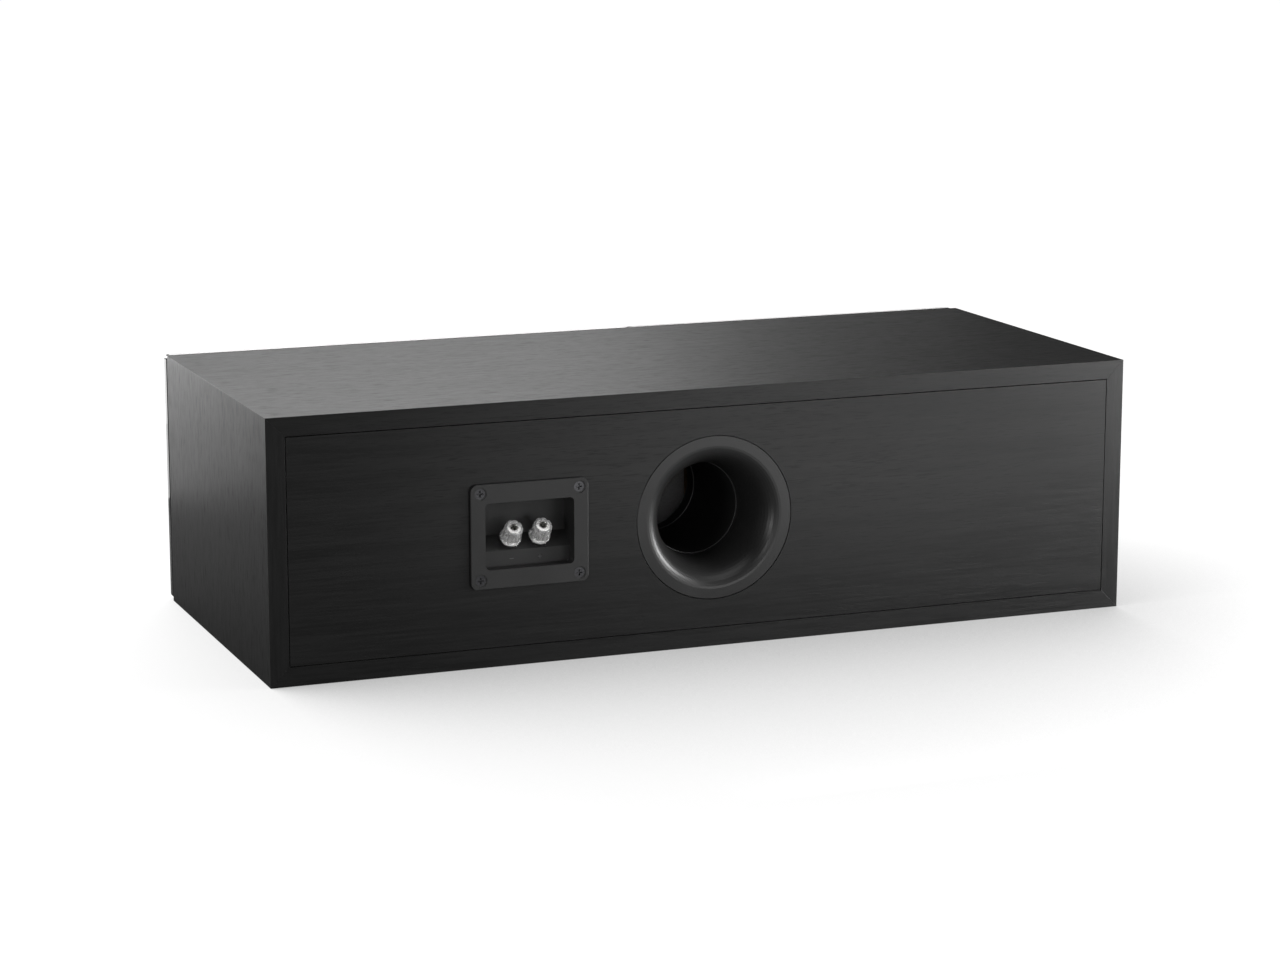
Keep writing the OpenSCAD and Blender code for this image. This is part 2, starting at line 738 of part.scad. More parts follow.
// Clear screw cap: a round skirt, then a tapered grip with fluted sides
module post_cap(x) color("#dfe6ea", 0.6) on_post(x) translate([0, 0, cap_h]) difference() {
    rotate_extrude() polygon([
        [core_r + fit / 2, 0.2], [cap_skirt_d / 2 - 0.6, 0.2], [cap_skirt_d / 2, 0.8],
        [cap_skirt_d / 2, skirt_l - 0.4], [cap_skirt_d / 2 - 0.4, skirt_l],
        [cap_tip_d / 2, cap_l - 0.5], [cap_tip_d / 2 - 0.5, cap_l], [core_r + fit / 2, cap_l]
    ]);
    around(cap_grips_n) translate([cap_tip_d / 2 - grip_depth + grip_r, 0, skirt_l + grip_r / 2])
        cylinder(r = grip_r, h = cap_l);
}

// Metal core of the cap: threaded on the stud, with a mouth for the banana plug
module post_core(x) color("#d8d5cc") on_post(x) difference() {
    translate([0, 0, cap_h]) cylinder(r = core_r, h = cap_l);
    translate([0, 0, cap_h - 1]) cylinder(r = stud_r + thread_clearance, h = cap_l + 1 - core_lip);
    translate([0, 0, cap_h]) cylinder(r = core_mouth_r, h = cap_l + 1);
}

module positive_post_stud() post_stud(positive_x);
module positive_post_washer() post_washer(positive_x);
module positive_post_cap() post_cap(positive_x);
module positive_post_core() post_core(positive_x);
module negative_post_stud() post_stud(negative_x);
module negative_post_washer() post_washer(negative_x);
module negative_post_cap() post_cap(negative_x);
module negative_post_core() post_core(negative_x);

module post_nuts() color("#a8a49a") for (x = [positive_x, negative_x]) on_post(x)
    translate([0, 0, -cup_wall - tag_t - nut_h]) difference() {
        cylinder(d = nut_across / cos(30), h = nut_h, $fn = 6);
        translate([0, 0, -1]) cylinder(r = stud_r + thread_clearance, h = nut_h + 2);
    }

module solder_tags() color("#cfcabb") for (x = [positive_x, negative_x]) on_post(x)
    translate([0, 0, -cup_wall - tag_t]) difference() {
        union() {
            cylinder(r = tag_r, h = tag_t);
            translate([-tag_w / 2, -tag_l, 0]) cube([tag_w, tag_l, tag_t]);
        }
        translate([0, 0, -1]) cylinder(r = stud_r + thread_clearance, h = tag_t + 2);
        translate([0, tag_w / 2 - tag_l, -1]) cylinder(r = tag_w / 4, h = tag_t + 2);
    }

// ---------- Crossover ----------

pcb_x0 = pcb_x - pcb_l / 2;
coil_a_x = pcb_x0 + coil_edge_gap + coil_a_d / 2 + support_r;
coil_a_y = pcb_front + coil_edge_gap + coil_a_d / 2;
coil_b_x = coil_a_x + (coil_a_d + coil_b_d) / 2 + coil_edge_gap;
coil_b_y = pcb_front + coil_edge_gap + coil_b_d / 2;
capacitors_y = pcb_rear - 2 * coil_edge_gap - capacitor_d / 2;
capacitor_xs = [
    pcb_x0 + pcb_inset + support_r + coil_edge_gap + capacitor_l / 2,
    pcb_x0 + pcb_inset + support_r + 2 * coil_edge_gap + 3 * capacitor_l / 2
];

module pcb_corners() {
    for (sx = [-1, 1], sy = [-1, 1])
        translate([pcb_x + sx * (pcb_l / 2 - pcb_inset), pcb_y + sy * (pcb_w / 2 - pcb_inset), board_t])
            children();
}

module crossover_board() color("#2c5a3a") difference() {
    translate([pcb_x0, pcb_front, pcb_top - pcb_t]) cube([pcb_l, pcb_w, pcb_t]);
    pcb_corners() cylinder(r = support_pin_r + fit, h = 2 * pcb_stand);
}

module crossover_supports() color("#e4e2da") pcb_corners() rotate_extrude() polygon([
    [0, 0], [support_r, 0], [support_r * 0.8, pcb_stand], [support_pin_r, pcb_stand],
    [support_pin_r, pcb_stand + pcb_t + fit], [support_head_r, pcb_stand + pcb_t + fit],
    [support_pin_r / 2, pcb_stand + pcb_t + support_head_h], [0, pcb_stand + pcb_t + support_head_h]
]);

// Air-cored coil lying flat, with rounded edges to its winding
module coil(d, h) {
    translate([0, 0, pcb_top + h / 2]) rotate_extrude() translate([(d / 2 + coil_hole_r) / 2, 0])
        polygon(round_rect(d / 2 - coil_hole_r, h, coil_edge));
}

module crossover_coils() color("#b0643a") {
    translate([coil_a_x, coil_a_y]) coil(coil_a_d, coil_a_h);
    translate([coil_b_x, coil_b_y]) coil(coil_b_d, coil_b_h);
}

module crossover_capacitors() color("#2b3f8a") for (x = capacitor_xs)
    translate([x - capacitor_l / 2, capacitors_y, pcb_top + capacitor_d / 2]) rotate([0, 90, 0])
        rotate_extrude() polygon([
            [0, 0], [capacitor_d / 2 - 1, 0], [capacitor_d / 2, 1],
            [capacitor_d / 2, capacitor_l - 1], [capacitor_d / 2 - 1, capacitor_l], [0, capacitor_l]
        ]);

module crossover_resistors() color("#e8e6e0") for (i = [0, 1])
    translate([
        pcb_x0 + pcb_l - resistor_gap - (i + 1) * resistor_side - i * resistor_gap / 2,
        pcb_y - resistor_l / 2, pcb_top
    ])
        cube([resistor_side, resistor_l, resistor_side]);

// ---------- Internal leads ----------

function unit(v) = v / norm(v);

// Smooth points through a list of chosen ones
function spline(p, steps) = [
    for (i = [0:len(p) - 2], k = [0:steps - 1])
        let (
            t = k / steps,
            a = p[max(i - 1, 0)], b = p[i], c = p[i + 1], d = p[min(i + 2, len(p) - 1)]
        )
        b + 0.5 * t * ((c - a) + t * ((2 * a - 5 * b + 4 * c - d) + t * (3 * b - a - 3 * c + d))),
    p[len(p) - 1]
];

// A sideways direction carried along the path without twist
function carried(dirs, i = 0, side = [0.12, 0.35, 0.93]) =
    i == len(dirs) ? [] :
    let (s = unit(side - (side * dirs[i]) * dirs[i])) concat([s], carried(dirs, i + 1, s));

// A round lead swept along chosen points, as one closed mesh
module lead(points) {
    path = spline(points, lead_steps);
    last = len(path) - 1;
    dirs = [for (i = [0:last]) unit(path[min(i + 1, last)] - path[max(i - 1, 0)])];
    across = carried(dirs);
    rings = [
        for (i = [0:last], k = [0:lead_sides - 1])
            let (angle = 360 * k / lead_sides)
            path[i] + lead_d / 2 * (cos(angle) * across[i] + sin(angle) * cross(dirs[i], across[i]))
    ];
    walls = [
        for (i = [0:last - 1], k = [0:lead_sides - 1])
            let (a = i * lead_sides + k, b = i * lead_sides + (k + 1) % lead_sides)
            each [[a, a + lead_sides, b], [b, a + lead_sides, b + lead_sides]]
    ];
    polyhedron(rings, concat(
        walls,
        [[for (k = [0:lead_sides - 1]) k]],
        [[for (k = [lead_sides - 1:-1:0]) last * lead_sides + k]]
    ));
}

module internal_leads() color("#7a1f1f") {
    for (x = [positive_x, negative_x]) lead([for (p = input_route) p + [x, 0, 0]]);
    for (route = [left_route, tweeter_route, right_route], step = [0, 1])
        lead([for (p = route) p + step * [pair_step, -pair_step, 0]]);
}

// ---------- Bass drivers ----------

module screw_ring(r, n) {
    around(n, 180 / n) translate([r, 0, 0]) children();
}

module driver_places() {
    for (side = [-1, 1]) from_front(side * woofer_x, baffle_y, mid_z) children();
}

// Cast basket: rim, seat for the surround, open arms, ledge for the spider, seat for the motor
module woofer_basket() color("#2a2a2c") difference() {
    vent_w = 2 * woofer_cutout_r * sin(180 / basket_vents_n) - basket_arm_w;
    rotate_extrude() polygon([
        [surround_inner_r + 2 * surround_roll_r, seat_h], [seat_outer_r + 0.3, seat_h],
        [seat_outer_r + 0.3, rim_front], [woofer_r - 1, rim_front], [woofer_r, rim_front + 1],
        [woofer_r, -gasket_t], [basket_wall_r, -gasket_t],
        [ledge_r + basket_metal, ledge_h], [ledge_r + basket_metal, ledge_h + basket_metal],
        [ledge_inner_r + basket_metal, ledge_h + basket_metal],
        [ledge_inner_r + basket_metal, basket_depth],
        [gap_r + 0.4, basket_depth], [gap_r + 0.4, basket_depth - basket_metal],
        [ledge_inner_r, basket_depth - basket_metal], [ledge_inner_r, ledge_h],
        [ledge_r, ledge_h], [basket_wall_r - basket_metal - 0.6, -0.5],
        [surround_inner_r + 2 * surround_roll_r, -0.5]
    ]);
    around(basket_vents_n, 180 / basket_vents_n) translate([ledge_inner_r, -vent_w / 2, basket_vent_edge])
        cube([woofer_cutout_r, vent_w, ledge_h - 2 * basket_vent_edge]);
    screw_ring(woofer_screw_pcd / 2, woofer_screws_n) translate([0, 0, rim_front]) {
        cylinder(r = screw_shank_r + fit, h = woofer_rim_t + 1);
        screw_seat();
    }
}

// Cone-shaped seat for a countersunk head, with its mouth at zero
module screw_seat() {
    translate([0, 0, -0.01]) rotate_extrude() polygon([
        [0, 0], [screw_head_r + fit, 0], [screw_shank_r + fit, screw_head_h + fit], [0, screw_head_h + fit]
    ]);
}

// Half-roll surround with a flat rim each side, glued to the basket outside and the cone inside
module woofer_surround() color("#161616") rotate_extrude() {
    roll_r0 = surround_inner_r + surround_roll_r;
    outer = surround_roll_r;
    inner = surround_roll_r - surround_t;
    polygon(concat(
        [
            [surround_inner_r - surround_glue_w, seat_h],
            [surround_inner_r - surround_glue_w, seat_h - surround_t]
        ],
        [for (i = [0:curve_steps]) let (a = 180 - 180 * i / curve_steps)
            [roll_r0 + outer * cos(a), seat_h - surround_t - outer * sin(a)]],
        [[seat_outer_r, seat_h - surround_t], [seat_outer_r, seat_h]],
        [for (i = [0:curve_steps]) let (a = 180 * i / curve_steps)
            [roll_r0 + inner * cos(a), seat_h - inner * sin(a)]]
    ));
}

// Level of the cone's front face at a radius
function cone_h(r) =
    let (share = max(0, min(1, (r - former_r) / (cone_r - former_r))))
    seat_h + cone_depth * pow(1 - share, cone_bend);

module woofer_cone() color("#232323") rotate_extrude() {
    radii = [for (i = [0:curve_steps]) former_r + fit + (cone_r - former_r - fit) * i / curve_steps];
    polygon(concat(
        [for (r = radii) [r, cone_h(r)]],
        [for (i = [curve_steps:-1:0]) [radii[i], cone_h(radii[i]) + cone_t]]
    ));
}

module woofer_dust_cap() color("#101010") rotate_extrude() {
    r = dust_cap_d / 2;
    ball = (r * r + dust_cap_rise * dust_cap_rise) / (2 * dust_cap_rise);
    half = asin(r / ball);
    rim_h = cone_h(r) - cap_t - fit;
    top_h = rim_h - dust_cap_rise;
    polygon(concat(
        [for (i = [0:curve_steps]) let (a = half * i / curve_steps)
            [ball * sin(a), top_h + ball * (1 - cos(a))]],
        [for (i = [curve_steps:-1:0]) let (a = half * i / curve_steps)
            [(ball - cap_t) * sin(a), top_h + cap_t + (ball - cap_t) * (1 - cos(a))]]
    ));
}

module woofer_spider() color("#c9a35a") rotate_extrude() {
    r0 = former_r + fit;
    r1 = ledge_r - 0.4;
    steps = 4 * spider_waves_n;
    wave = [
        for (i = [0:steps]) let (share = i / steps)
            [r0 + spider_flat + (r1 - r0 - 2 * spider_flat) * share,
                ledge_h - spider_t - spider_wave * (1 - cos(360 * spider_waves_n * share)) / 2]
    ];
    front = concat([[r0, ledge_h - spider_t]], wave, [[r1, ledge_h - spider_t]]);
    polygon(concat(front, [for (i = [len(front) - 1:-1:0]) front[i] + [0, spider_t]]));
}

// Former with its winding, hanging in the magnetic gap
module woofer_voice_coil() color("#b87333") rotate_extrude() {
    gap_mid = basket_depth + motor_plate_t / 2;
    wind0 = gap_mid - winding_l / 2;
    wind1 = gap_mid + winding_l / 2;
    polygon([
        [former_r - former_wall, seat_h + cone_depth], [former_r, seat_h + cone_depth],
        [former_r, wind0], [former_r + winding_t, wind0], [former_r + winding_t, wind1],
        [former_r, wind1], [former_r, wind1 + former_tail], [former_r - former_wall, wind1 + former_tail]
    ]);
}

module woofer_top_plate() color("#8d9196")
    ring(motor_plate_d / 2, gap_r, basket_depth, basket_depth + motor_plate_t);

module woofer_magnet() color("#3a3a3c") rotate_extrude() {
    a = basket_depth + motor_plate_t;
    b = a + magnet_t;
    polygon([
        [magnet_hole_r, a], [magnet_d / 2 - plate_chamfer, a], [magnet_d / 2, a + plate_chamfer],
        [magnet_d / 2, b - plate_chamfer], [magnet_d / 2 - plate_chamfer, b], [magnet_hole_r, b]
    ]);
}

// Back plate with its pole piece, vented through the middle
module woofer_back_plate() color("#8d9196") rotate_extrude() {
    a = basket_depth + motor_plate_t + magnet_t;
    b = a + motor_plate_t;
    polygon([
        [pole_vent_r, basket_depth], [pole_r, basket_depth], [pole_r, a], [motor_plate_d / 2, a],
        [motor_plate_d / 2, b - plate_chamfer], [motor_plate_d / 2 - plate_chamfer, b], [pole_vent_r, b]
    ]);
}

module on_left() from_front(woofer_x, baffle_y, mid_z) children();
module on_right() from_front(-woofer_x, baffle_y, mid_z) children();

module left_woofer_basket() on_left() woofer_basket();
module left_woofer_surround() on_left() woofer_surround();
module left_woofer_cone() on_left() woofer_cone();
module left_woofer_dust_cap() on_left() woofer_dust_cap();
module left_woofer_spider() on_left() woofer_spider();
module left_woofer_voice_coil() on_left() woofer_voice_coil();
module left_woofer_top_plate() on_left() woofer_top_plate();
module left_woofer_magnet() on_left() woofer_magnet();
module left_woofer_back_plate() on_left() woofer_back_plate();
module right_woofer_basket() on_right() woofer_basket();
module right_woofer_surround() on_right() woofer_surround();
module right_woofer_cone() on_right() woofer_cone();
module right_woofer_dust_cap() on_right() woofer_dust_cap();
module right_woofer_spider() on_right() woofer_spider();
module right_woofer_voice_coil() on_right() woofer_voice_coil();
module right_woofer_top_plate() on_right() woofer_top_plate();
module right_woofer_magnet() on_right() woofer_magnet();
module right_woofer_back_plate() on_right() woofer_back_plate();

// Sealing rings under the three drivers
module driver_gaskets() color("#141414") {
    driver_places() difference() {
        ring(woofer_r, woofer_cutout_r, -gasket_t, 0);
        screw_ring(woofer_screw_pcd / 2, woofer_screws_n)
            translate([0, 0, -2 * gasket_t]) cylinder(r = screw_shank_r + fit, h = 3 * gasket_t);
    }
    from_front(0, baffle_y, mid_z) difference() {
        ring(tweeter_r, tweeter_cutout_r, -gasket_t, 0);
        screw_ring(tweeter_screw_r, tweeter_screws_n)
            translate([0, 0, -2 * gasket_t]) cylinder(r = screw_shank_r + fit, h = 3 * gasket_t);
    }
}

module driver_screws() color("#1c1c1e") {
    driver_places() screw_ring(woofer_screw_pcd / 2, woofer_screws_n) translate([0, 0, rim_front])
        countersunk_screw(screw_head_r, screw_head_h, screw_shank_r, screw_l);
    on_tweeter() screw_ring(tweeter_screw_r, tweeter_screws_n) translate([0, 0, tweeter_front])
        countersunk_screw(screw_head_r, screw_head_h, screw_shank_r, screw_l);
}

// ---------- Tweeter ----------

module on_tweeter() from_front(0, baffle_y, mid_z) children();

// Face plate with a shallow horn around the dome
module tweeter_faceplate() color("#1a1a1c") on_tweeter() difference() {
    rotate_extrude() polygon([
        [horn_throat_r, tweeter_front + horn_depth], [horn_mouth_r, tweeter_front + 0.5],
        [horn_mouth_r + 1.5, tweeter_front], [tweeter_r - 1, tweeter_front], [tweeter_r, tweeter_front + 1],
        [tweeter_r, tweeter_back], [horn_throat_r, tweeter_back]
    ]);
    screw_ring(tweeter_screw_r, tweeter_screws_n) translate([0, 0, tweeter_front]) {
        cylinder(r = screw_shank_r + fit, h = tweeter_plate_t + 1);
        screw_seat();
    }
}

// Soft dome on its voice-coil former
module tweeter_dome() color("#20242a") on_tweeter() rotate_extrude() {
    ball = (dome_r * dome_r + dome_rise * dome_rise) / (2 * dome_rise);
    half = asin(dome_r / ball);
    top_h = dome_base - dome_rise;
    polygon(concat(
        [for (i = [0:curve_steps]) let (a = half * i / curve_steps)
            [ball * sin(a), top_h + ball * (1 - cos(a))]],
        [[dome_r, dome_base + dome_former_l], [dome_r - dome_former_wall, dome_base + dome_former_l]],
        [for (i = [curve_steps:-1:0]) let (a = half * i / curve_steps)
            [(ball - dome_t) * sin(a), top_h + dome_t + (ball - dome_t) * (1 - cos(a))]]
    ));
}

// Small half-roll between the dome and the face plate
module tweeter_surround() color("#16181c") on_tweeter() rotate_extrude() {
    r0 = dome_r + fit;
    roll = (horn_throat_r - r0) / 2 - fit;
    polygon(concat(
        [for (i = [0:curve_steps / 2]) let (a = 180 - 360 * i / curve_steps)
            [r0 + roll + roll * cos(a), dome_base - roll * sin(a) * 0.6]],
        [for (i = [0:curve_steps / 2]) let (a = 360 * i / curve_steps)
            [r0 + roll + (roll - dome_t) * cos(a), dome_base + dome_t - (roll - dome_t) * sin(a) * 0.6]]
    ));
}

tweeter_gap_r = dome_r + dome_gap;
tweeter_pole_r = dome_r - dome_former_wall - dome_gap;
tweeter_magnet_a = tweeter_back + tweeter_steel_t;
tweeter_magnet_b = tweeter_magnet_a + tweeter_magnet_t;
tweeter_rear = tweeter_magnet_b + tweeter_steel_t;

module tweeter_plates() color("#8d9196") on_tweeter() {
    ring(tweeter_magnet_d / 2 - 2, tweeter_gap_r, tweeter_back, tweeter_magnet_a);
    rotate_extrude() polygon([
        [pole_vent_r, tweeter_back], [tweeter_pole_r, tweeter_back], [tweeter_pole_r, tweeter_magnet_b],
        [tweeter_magnet_d / 2 - 2, tweeter_magnet_b], [tweeter_magnet_d / 2 - 2, tweeter_rear],
        [pole_vent_r, tweeter_rear]
    ]);
}

module tweeter_magnet() color("#3a3a3c") on_tweeter()
    ring(tweeter_magnet_d / 2, dome_r + 4, tweeter_magnet_a, tweeter_magnet_b);

module tweeter_chamber() color("#262628") on_tweeter() rotate_extrude() {
    r = chamber_d / 2;
    wall = 2;
    back = tweeter_rear + chamber_depth;
    polygon([
        [0, back], [r - 3, back], [r, back - 3], [r, tweeter_rear], [r - wall, tweeter_rear],
        [r - wall, back - 3 - wall / 2], [r - 3 - wall / 2, back - wall], [0, back - wall]
    ]);
}

cabinet_top();
cabinet_bottom();
cabinet_left_side();
cabinet_right_side();
rear_panel();
rear_battens();
front_baffle();
front_panel();
cabinet_braces();
damping_pads();
port_flare();
port_tube();
port_inner_flare();
terminal_cup();
terminal_seal();
terminal_screws();
positive_post_stud();
positive_post_washer();
positive_post_cap();
positive_post_core();
negative_post_stud();
negative_post_washer();
negative_post_cap();
negative_post_core();
post_nuts();
solder_tags();
crossover_board();
crossover_supports();
crossover_coils();
crossover_capacitors();
crossover_resistors();
internal_leads();
left_woofer_basket();
left_woofer_surround();
left_woofer_cone();
left_woofer_dust_cap();
left_woofer_spider();
left_woofer_voice_coil();
left_woofer_top_plate();
left_woofer_magnet();
left_woofer_back_plate();
right_woofer_basket();
right_woofer_surround();
right_woofer_cone();
right_woofer_dust_cap();
right_woofer_spider();
right_woofer_voice_coil();
right_woofer_top_plate();
right_woofer_magnet();
right_woofer_back_plate();
driver_gaskets();
driver_screws();
tweeter_faceplate();
tweeter_dome();
tweeter_surround();
tweeter_plates();
tweeter_magnet();
tweeter_chamber();
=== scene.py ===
"""Looks for the two-way centre speaker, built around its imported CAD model."""

import json
import math

import bmesh
import bpy
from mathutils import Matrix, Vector

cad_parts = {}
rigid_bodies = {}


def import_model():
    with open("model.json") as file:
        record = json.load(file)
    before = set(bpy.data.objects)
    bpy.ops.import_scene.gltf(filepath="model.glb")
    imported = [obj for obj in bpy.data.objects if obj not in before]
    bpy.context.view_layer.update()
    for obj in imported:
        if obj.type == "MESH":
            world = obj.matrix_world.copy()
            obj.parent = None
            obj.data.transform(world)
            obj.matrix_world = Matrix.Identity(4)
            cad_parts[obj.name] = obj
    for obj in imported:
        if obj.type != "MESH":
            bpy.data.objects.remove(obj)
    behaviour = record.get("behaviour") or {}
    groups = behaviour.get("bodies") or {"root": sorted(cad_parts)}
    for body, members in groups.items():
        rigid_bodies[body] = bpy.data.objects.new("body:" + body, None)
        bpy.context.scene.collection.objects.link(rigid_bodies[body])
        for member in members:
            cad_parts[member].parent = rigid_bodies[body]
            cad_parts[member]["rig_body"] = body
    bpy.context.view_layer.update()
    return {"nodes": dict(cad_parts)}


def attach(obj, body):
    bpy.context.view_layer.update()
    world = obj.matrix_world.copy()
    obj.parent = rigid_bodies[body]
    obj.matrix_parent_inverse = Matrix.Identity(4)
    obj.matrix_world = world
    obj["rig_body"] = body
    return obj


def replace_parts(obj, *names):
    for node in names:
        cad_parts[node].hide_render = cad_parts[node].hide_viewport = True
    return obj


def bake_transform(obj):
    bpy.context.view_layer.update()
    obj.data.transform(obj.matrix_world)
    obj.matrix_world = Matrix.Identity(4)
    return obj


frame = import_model()
nodes = frame["nodes"]
scene = bpy.context.scene
MM = 0.001

# ---------- Material nodes ----------

COLOUR_A, COLOUR_B, COLOUR_OUT = 6, 7, 2  # a Mix node's sockets for colours


def math_node(tree, operation, a, b):
    """The value that a Math node makes of two sockets or numbers."""
    made = tree.nodes.new("ShaderNodeMath")
    made.operation = operation
    for socket, value in zip(made.inputs, (a, b)):
        if isinstance(value, bpy.types.NodeSocket):
            tree.links.new(value, socket)
        else:
            socket.default_value = value
    return made.outputs["Value"]


class Finish:
    """A Principled material with short calls for the procedural nodes that feed it."""

    def __init__(self, name, **values):
        self.material = bpy.data.materials.new(name)
        self.material.use_nodes = True
        self.tree = self.material.node_tree
        self.shader = self.tree.nodes["Principled BSDF"]
        for key, value in values.items():
            self.set(key.replace("_", " "), value)
        self.place = self.node("ShaderNodeTexCoord").outputs["Object"]

    def node(self, kind, **values):
        made = self.tree.nodes.new(kind)
        for key, value in values.items():
            setattr(made, key, value)
        return made

    def plug(self, socket, value):
        """Links a socket, or sets a constant, where three numbers for a colour get full alpha."""
        if isinstance(value, bpy.types.NodeSocket):
            self.tree.links.new(value, socket)
        elif isinstance(value, tuple) and len(value) == 3 and len(socket.default_value) == 4:
            socket.default_value = (*value, 1.0)
        else:
            socket.default_value = value

    def set(self, name, value):
        """Feeds one of the shader's inputs with a socket or a constant. A number as colour is a grey."""
        if isinstance(value, (int, float)) and name == "Base Color":
            value = (value,) * 3
        self.plug(self.shader.inputs[name], value)

    def stretch(self, scale, vector=None):
        """The place, scaled along each axis."""
        made = self.node("ShaderNodeMapping")
        self.plug(made.inputs["Vector"], vector or self.place)
        made.inputs["Scale"].default_value = scale
        return made.outputs["Vector"]

    def noise(self, scale, vector=None, *, detail, rough=0.55):
        """Noise with that many features per metre, or stretched ones when scale is three numbers."""
        made = self.node("ShaderNodeTexNoise")
        if isinstance(scale, tuple):
            vector, scale = self.stretch(scale, vector), 1.0
        self.plug(made.inputs["Vector"], vector or self.place)
        made.inputs["Scale"].default_value = scale
        made.inputs["Detail"].default_value = detail
        made.inputs["Roughness"].default_value = rough
        return made.outputs["Fac"]

    def cells(self, scale, vector):
        """Distance from the middle of the nearest cell, with that many cells per metre."""
        made = self.node("ShaderNodeTexVoronoi")
        self.plug(made.inputs["Vector"], vector)
        made.inputs["Scale"].default_value = scale
        return made.outputs["Distance"]

    def calc(self, operation, a, b=0.5):
        """A Math node's value. An operation with one input takes no notice of b."""
        return math_node(self.tree, operation, a, b)

    def between(self, value, low, high, out_low=0.0, out_high=1.0):
        """value from low..high mapped onto out_low..out_high, held inside them."""
        made = self.node("ShaderNodeMapRange", interpolation_type="SMOOTHSTEP")
        for name, number in (
            ("Value", value), ("From Min", low), ("From Max", high),
            ("To Min", out_low), ("To Max", out_high),
        ):
            self.plug(made.inputs[name], number)
        return made.outputs["Result"]

    def blend(self, share, a, b):
        """Colour a where share is 0, and b where it is 1. A number is a grey."""
        made = self.node("ShaderNodeMix", data_type="RGBA")
        self.plug(made.inputs["Factor"], share)
        for socket, value in ((COLOUR_A, a), (COLOUR_B, b)):
            self.plug(made.inputs[socket], (value,) * 3 if isinstance(value, (int, float)) else value)
        return made.outputs[COLOUR_OUT]

    def warp(self, scale, amount):
        """The place, pushed about by a slow noise, by up to amount metres along each axis."""
        made = self.node("ShaderNodeTexNoise")
        self.plug(made.inputs["Vector"], self.stretch(scale))
        made.inputs["Scale"].default_value = 1.0
        made.inputs["Detail"].default_value = 2.0
        shift = self.node("ShaderNodeVectorMath", operation="MULTIPLY_ADD")
        self.plug(shift.inputs[0], made.outputs["Color"])
        shift.inputs[1].default_value = amount
        self.plug(shift.inputs[2], self.place)
        return shift.outputs["Vector"]

    def bump(self, height, depth, strength):
        """Relief of that depth in metres."""
        made = self.node("ShaderNodeBump")
        made.inputs["Strength"].default_value = strength
        made.inputs["Distance"].default_value = depth
        self.plug(made.inputs["Height"], height)
        self.plug(self.shader.inputs["Normal"], made.outputs["Normal"])


def wood_wrap(name, along):
    """Black ash foil: fine pores and streaks that run along one axis."""
    f = Finish(name, Specular_IOR_Level=0.38)

    def grain(length, width):
        """The scale of features that long along the grain and that wide across it, in metres."""
        scale = [1.0 / width] * 3
        scale[along] = 1.0 / length
        return tuple(scale)

    sway = [0.006] * 3
    sway[along] = 0.0
    place = f.warp(grain(length=0.34, width=0.06), tuple(sway))
    bands = f.noise(grain(length=0.30, width=0.011), place, detail=2.0)
    streaks = f.noise(grain(length=0.045, width=0.0016), place, detail=3.0, rough=0.62)
    pores = f.noise(grain(length=0.011, width=0.00055), place, detail=1.5, rough=0.5)
    pore = f.between(pores, 0.56, 0.68)
    tone = f.between(f.calc("ADD", bands, streaks), 0.75, 1.25)
    colour = f.blend(tone, 0.0062, 0.0112)
    f.set("Base Color", f.blend(pore, colour, 0.003))
    f.set("Roughness", f.calc("ADD", f.between(streaks, 0.3, 0.7, 0.33, 0.38),
                              f.calc("MULTIPLY", pore, 0.15)))
    relief = f.calc("SUBTRACT", f.calc("MULTIPLY", streaks, 0.45), f.calc("MULTIPLY", pore, 0.7))
    f.bump(relief, 0.00003, 0.5)
    return f.material


def board_fibre(name, colour, dark, rough=0.85):
    """Pressed fibre board: fine flecks with no direction, over faint patches."""
    f = Finish(name, Specular_IOR_Level=0.25)
    flecks = f.noise(900.0, detail=4.0, rough=0.7)
    patches = f.noise(30.0, detail=2.0)
    tone = f.between(f.calc("ADD", flecks, f.calc("MULTIPLY", patches, 0.5)), 0.55, 0.95)
    f.set("Base Color", f.blend(tone, dark, colour))
    f.set("Roughness", f.between(flecks, 0.3, 0.7, rough, rough - 0.12))
    f.bump(flecks, 0.00012, 0.6)
    return f.material


def moulded(name, colour, rough, grain, depth):
    """Moulded plastic with faint unevenness and a fine spark texture.

    grain is the number of sparks per metre, and depth is how deep they are in metres.
    """
    f = Finish(name)
    spark = f.noise(grain, detail=2.0, rough=0.6)
    slow = f.noise(24.0, detail=2.0)
    f.set("Base Color", f.blend(f.between(slow, 0.3, 0.7), colour * 0.88, colour * 1.12))
    f.set("Roughness", f.calc("ADD", f.between(slow, 0.3, 0.7, rough - 0.03, rough + 0.03),
                              f.between(spark, 0.35, 0.65, -0.02, 0.03)))
    f.bump(spark, depth, 0.5)
    return f.material


def lacquer():
    """Gloss black lacquer with faint orange peel and fine wipe marks."""
    f = Finish("gloss_black_lacquer", Specular_IOR_Level=0.5, Coat_Weight=1.0, Coat_Roughness=0.03,
               Coat_IOR=1.5)
    peel = f.noise(260.0, detail=1.0)
    wipe = f.noise((14.0, 60.0, 60.0), detail=3.0, rough=0.7)
    f.set("Base Color", f.blend(f.between(wipe, 0.3, 0.7), 0.0045, 0.007))
    f.set("Roughness", f.between(wipe, 0.35, 0.7, 0.07, 0.13))
    f.bump(peel, 0.00002, 0.25)
    return f.material


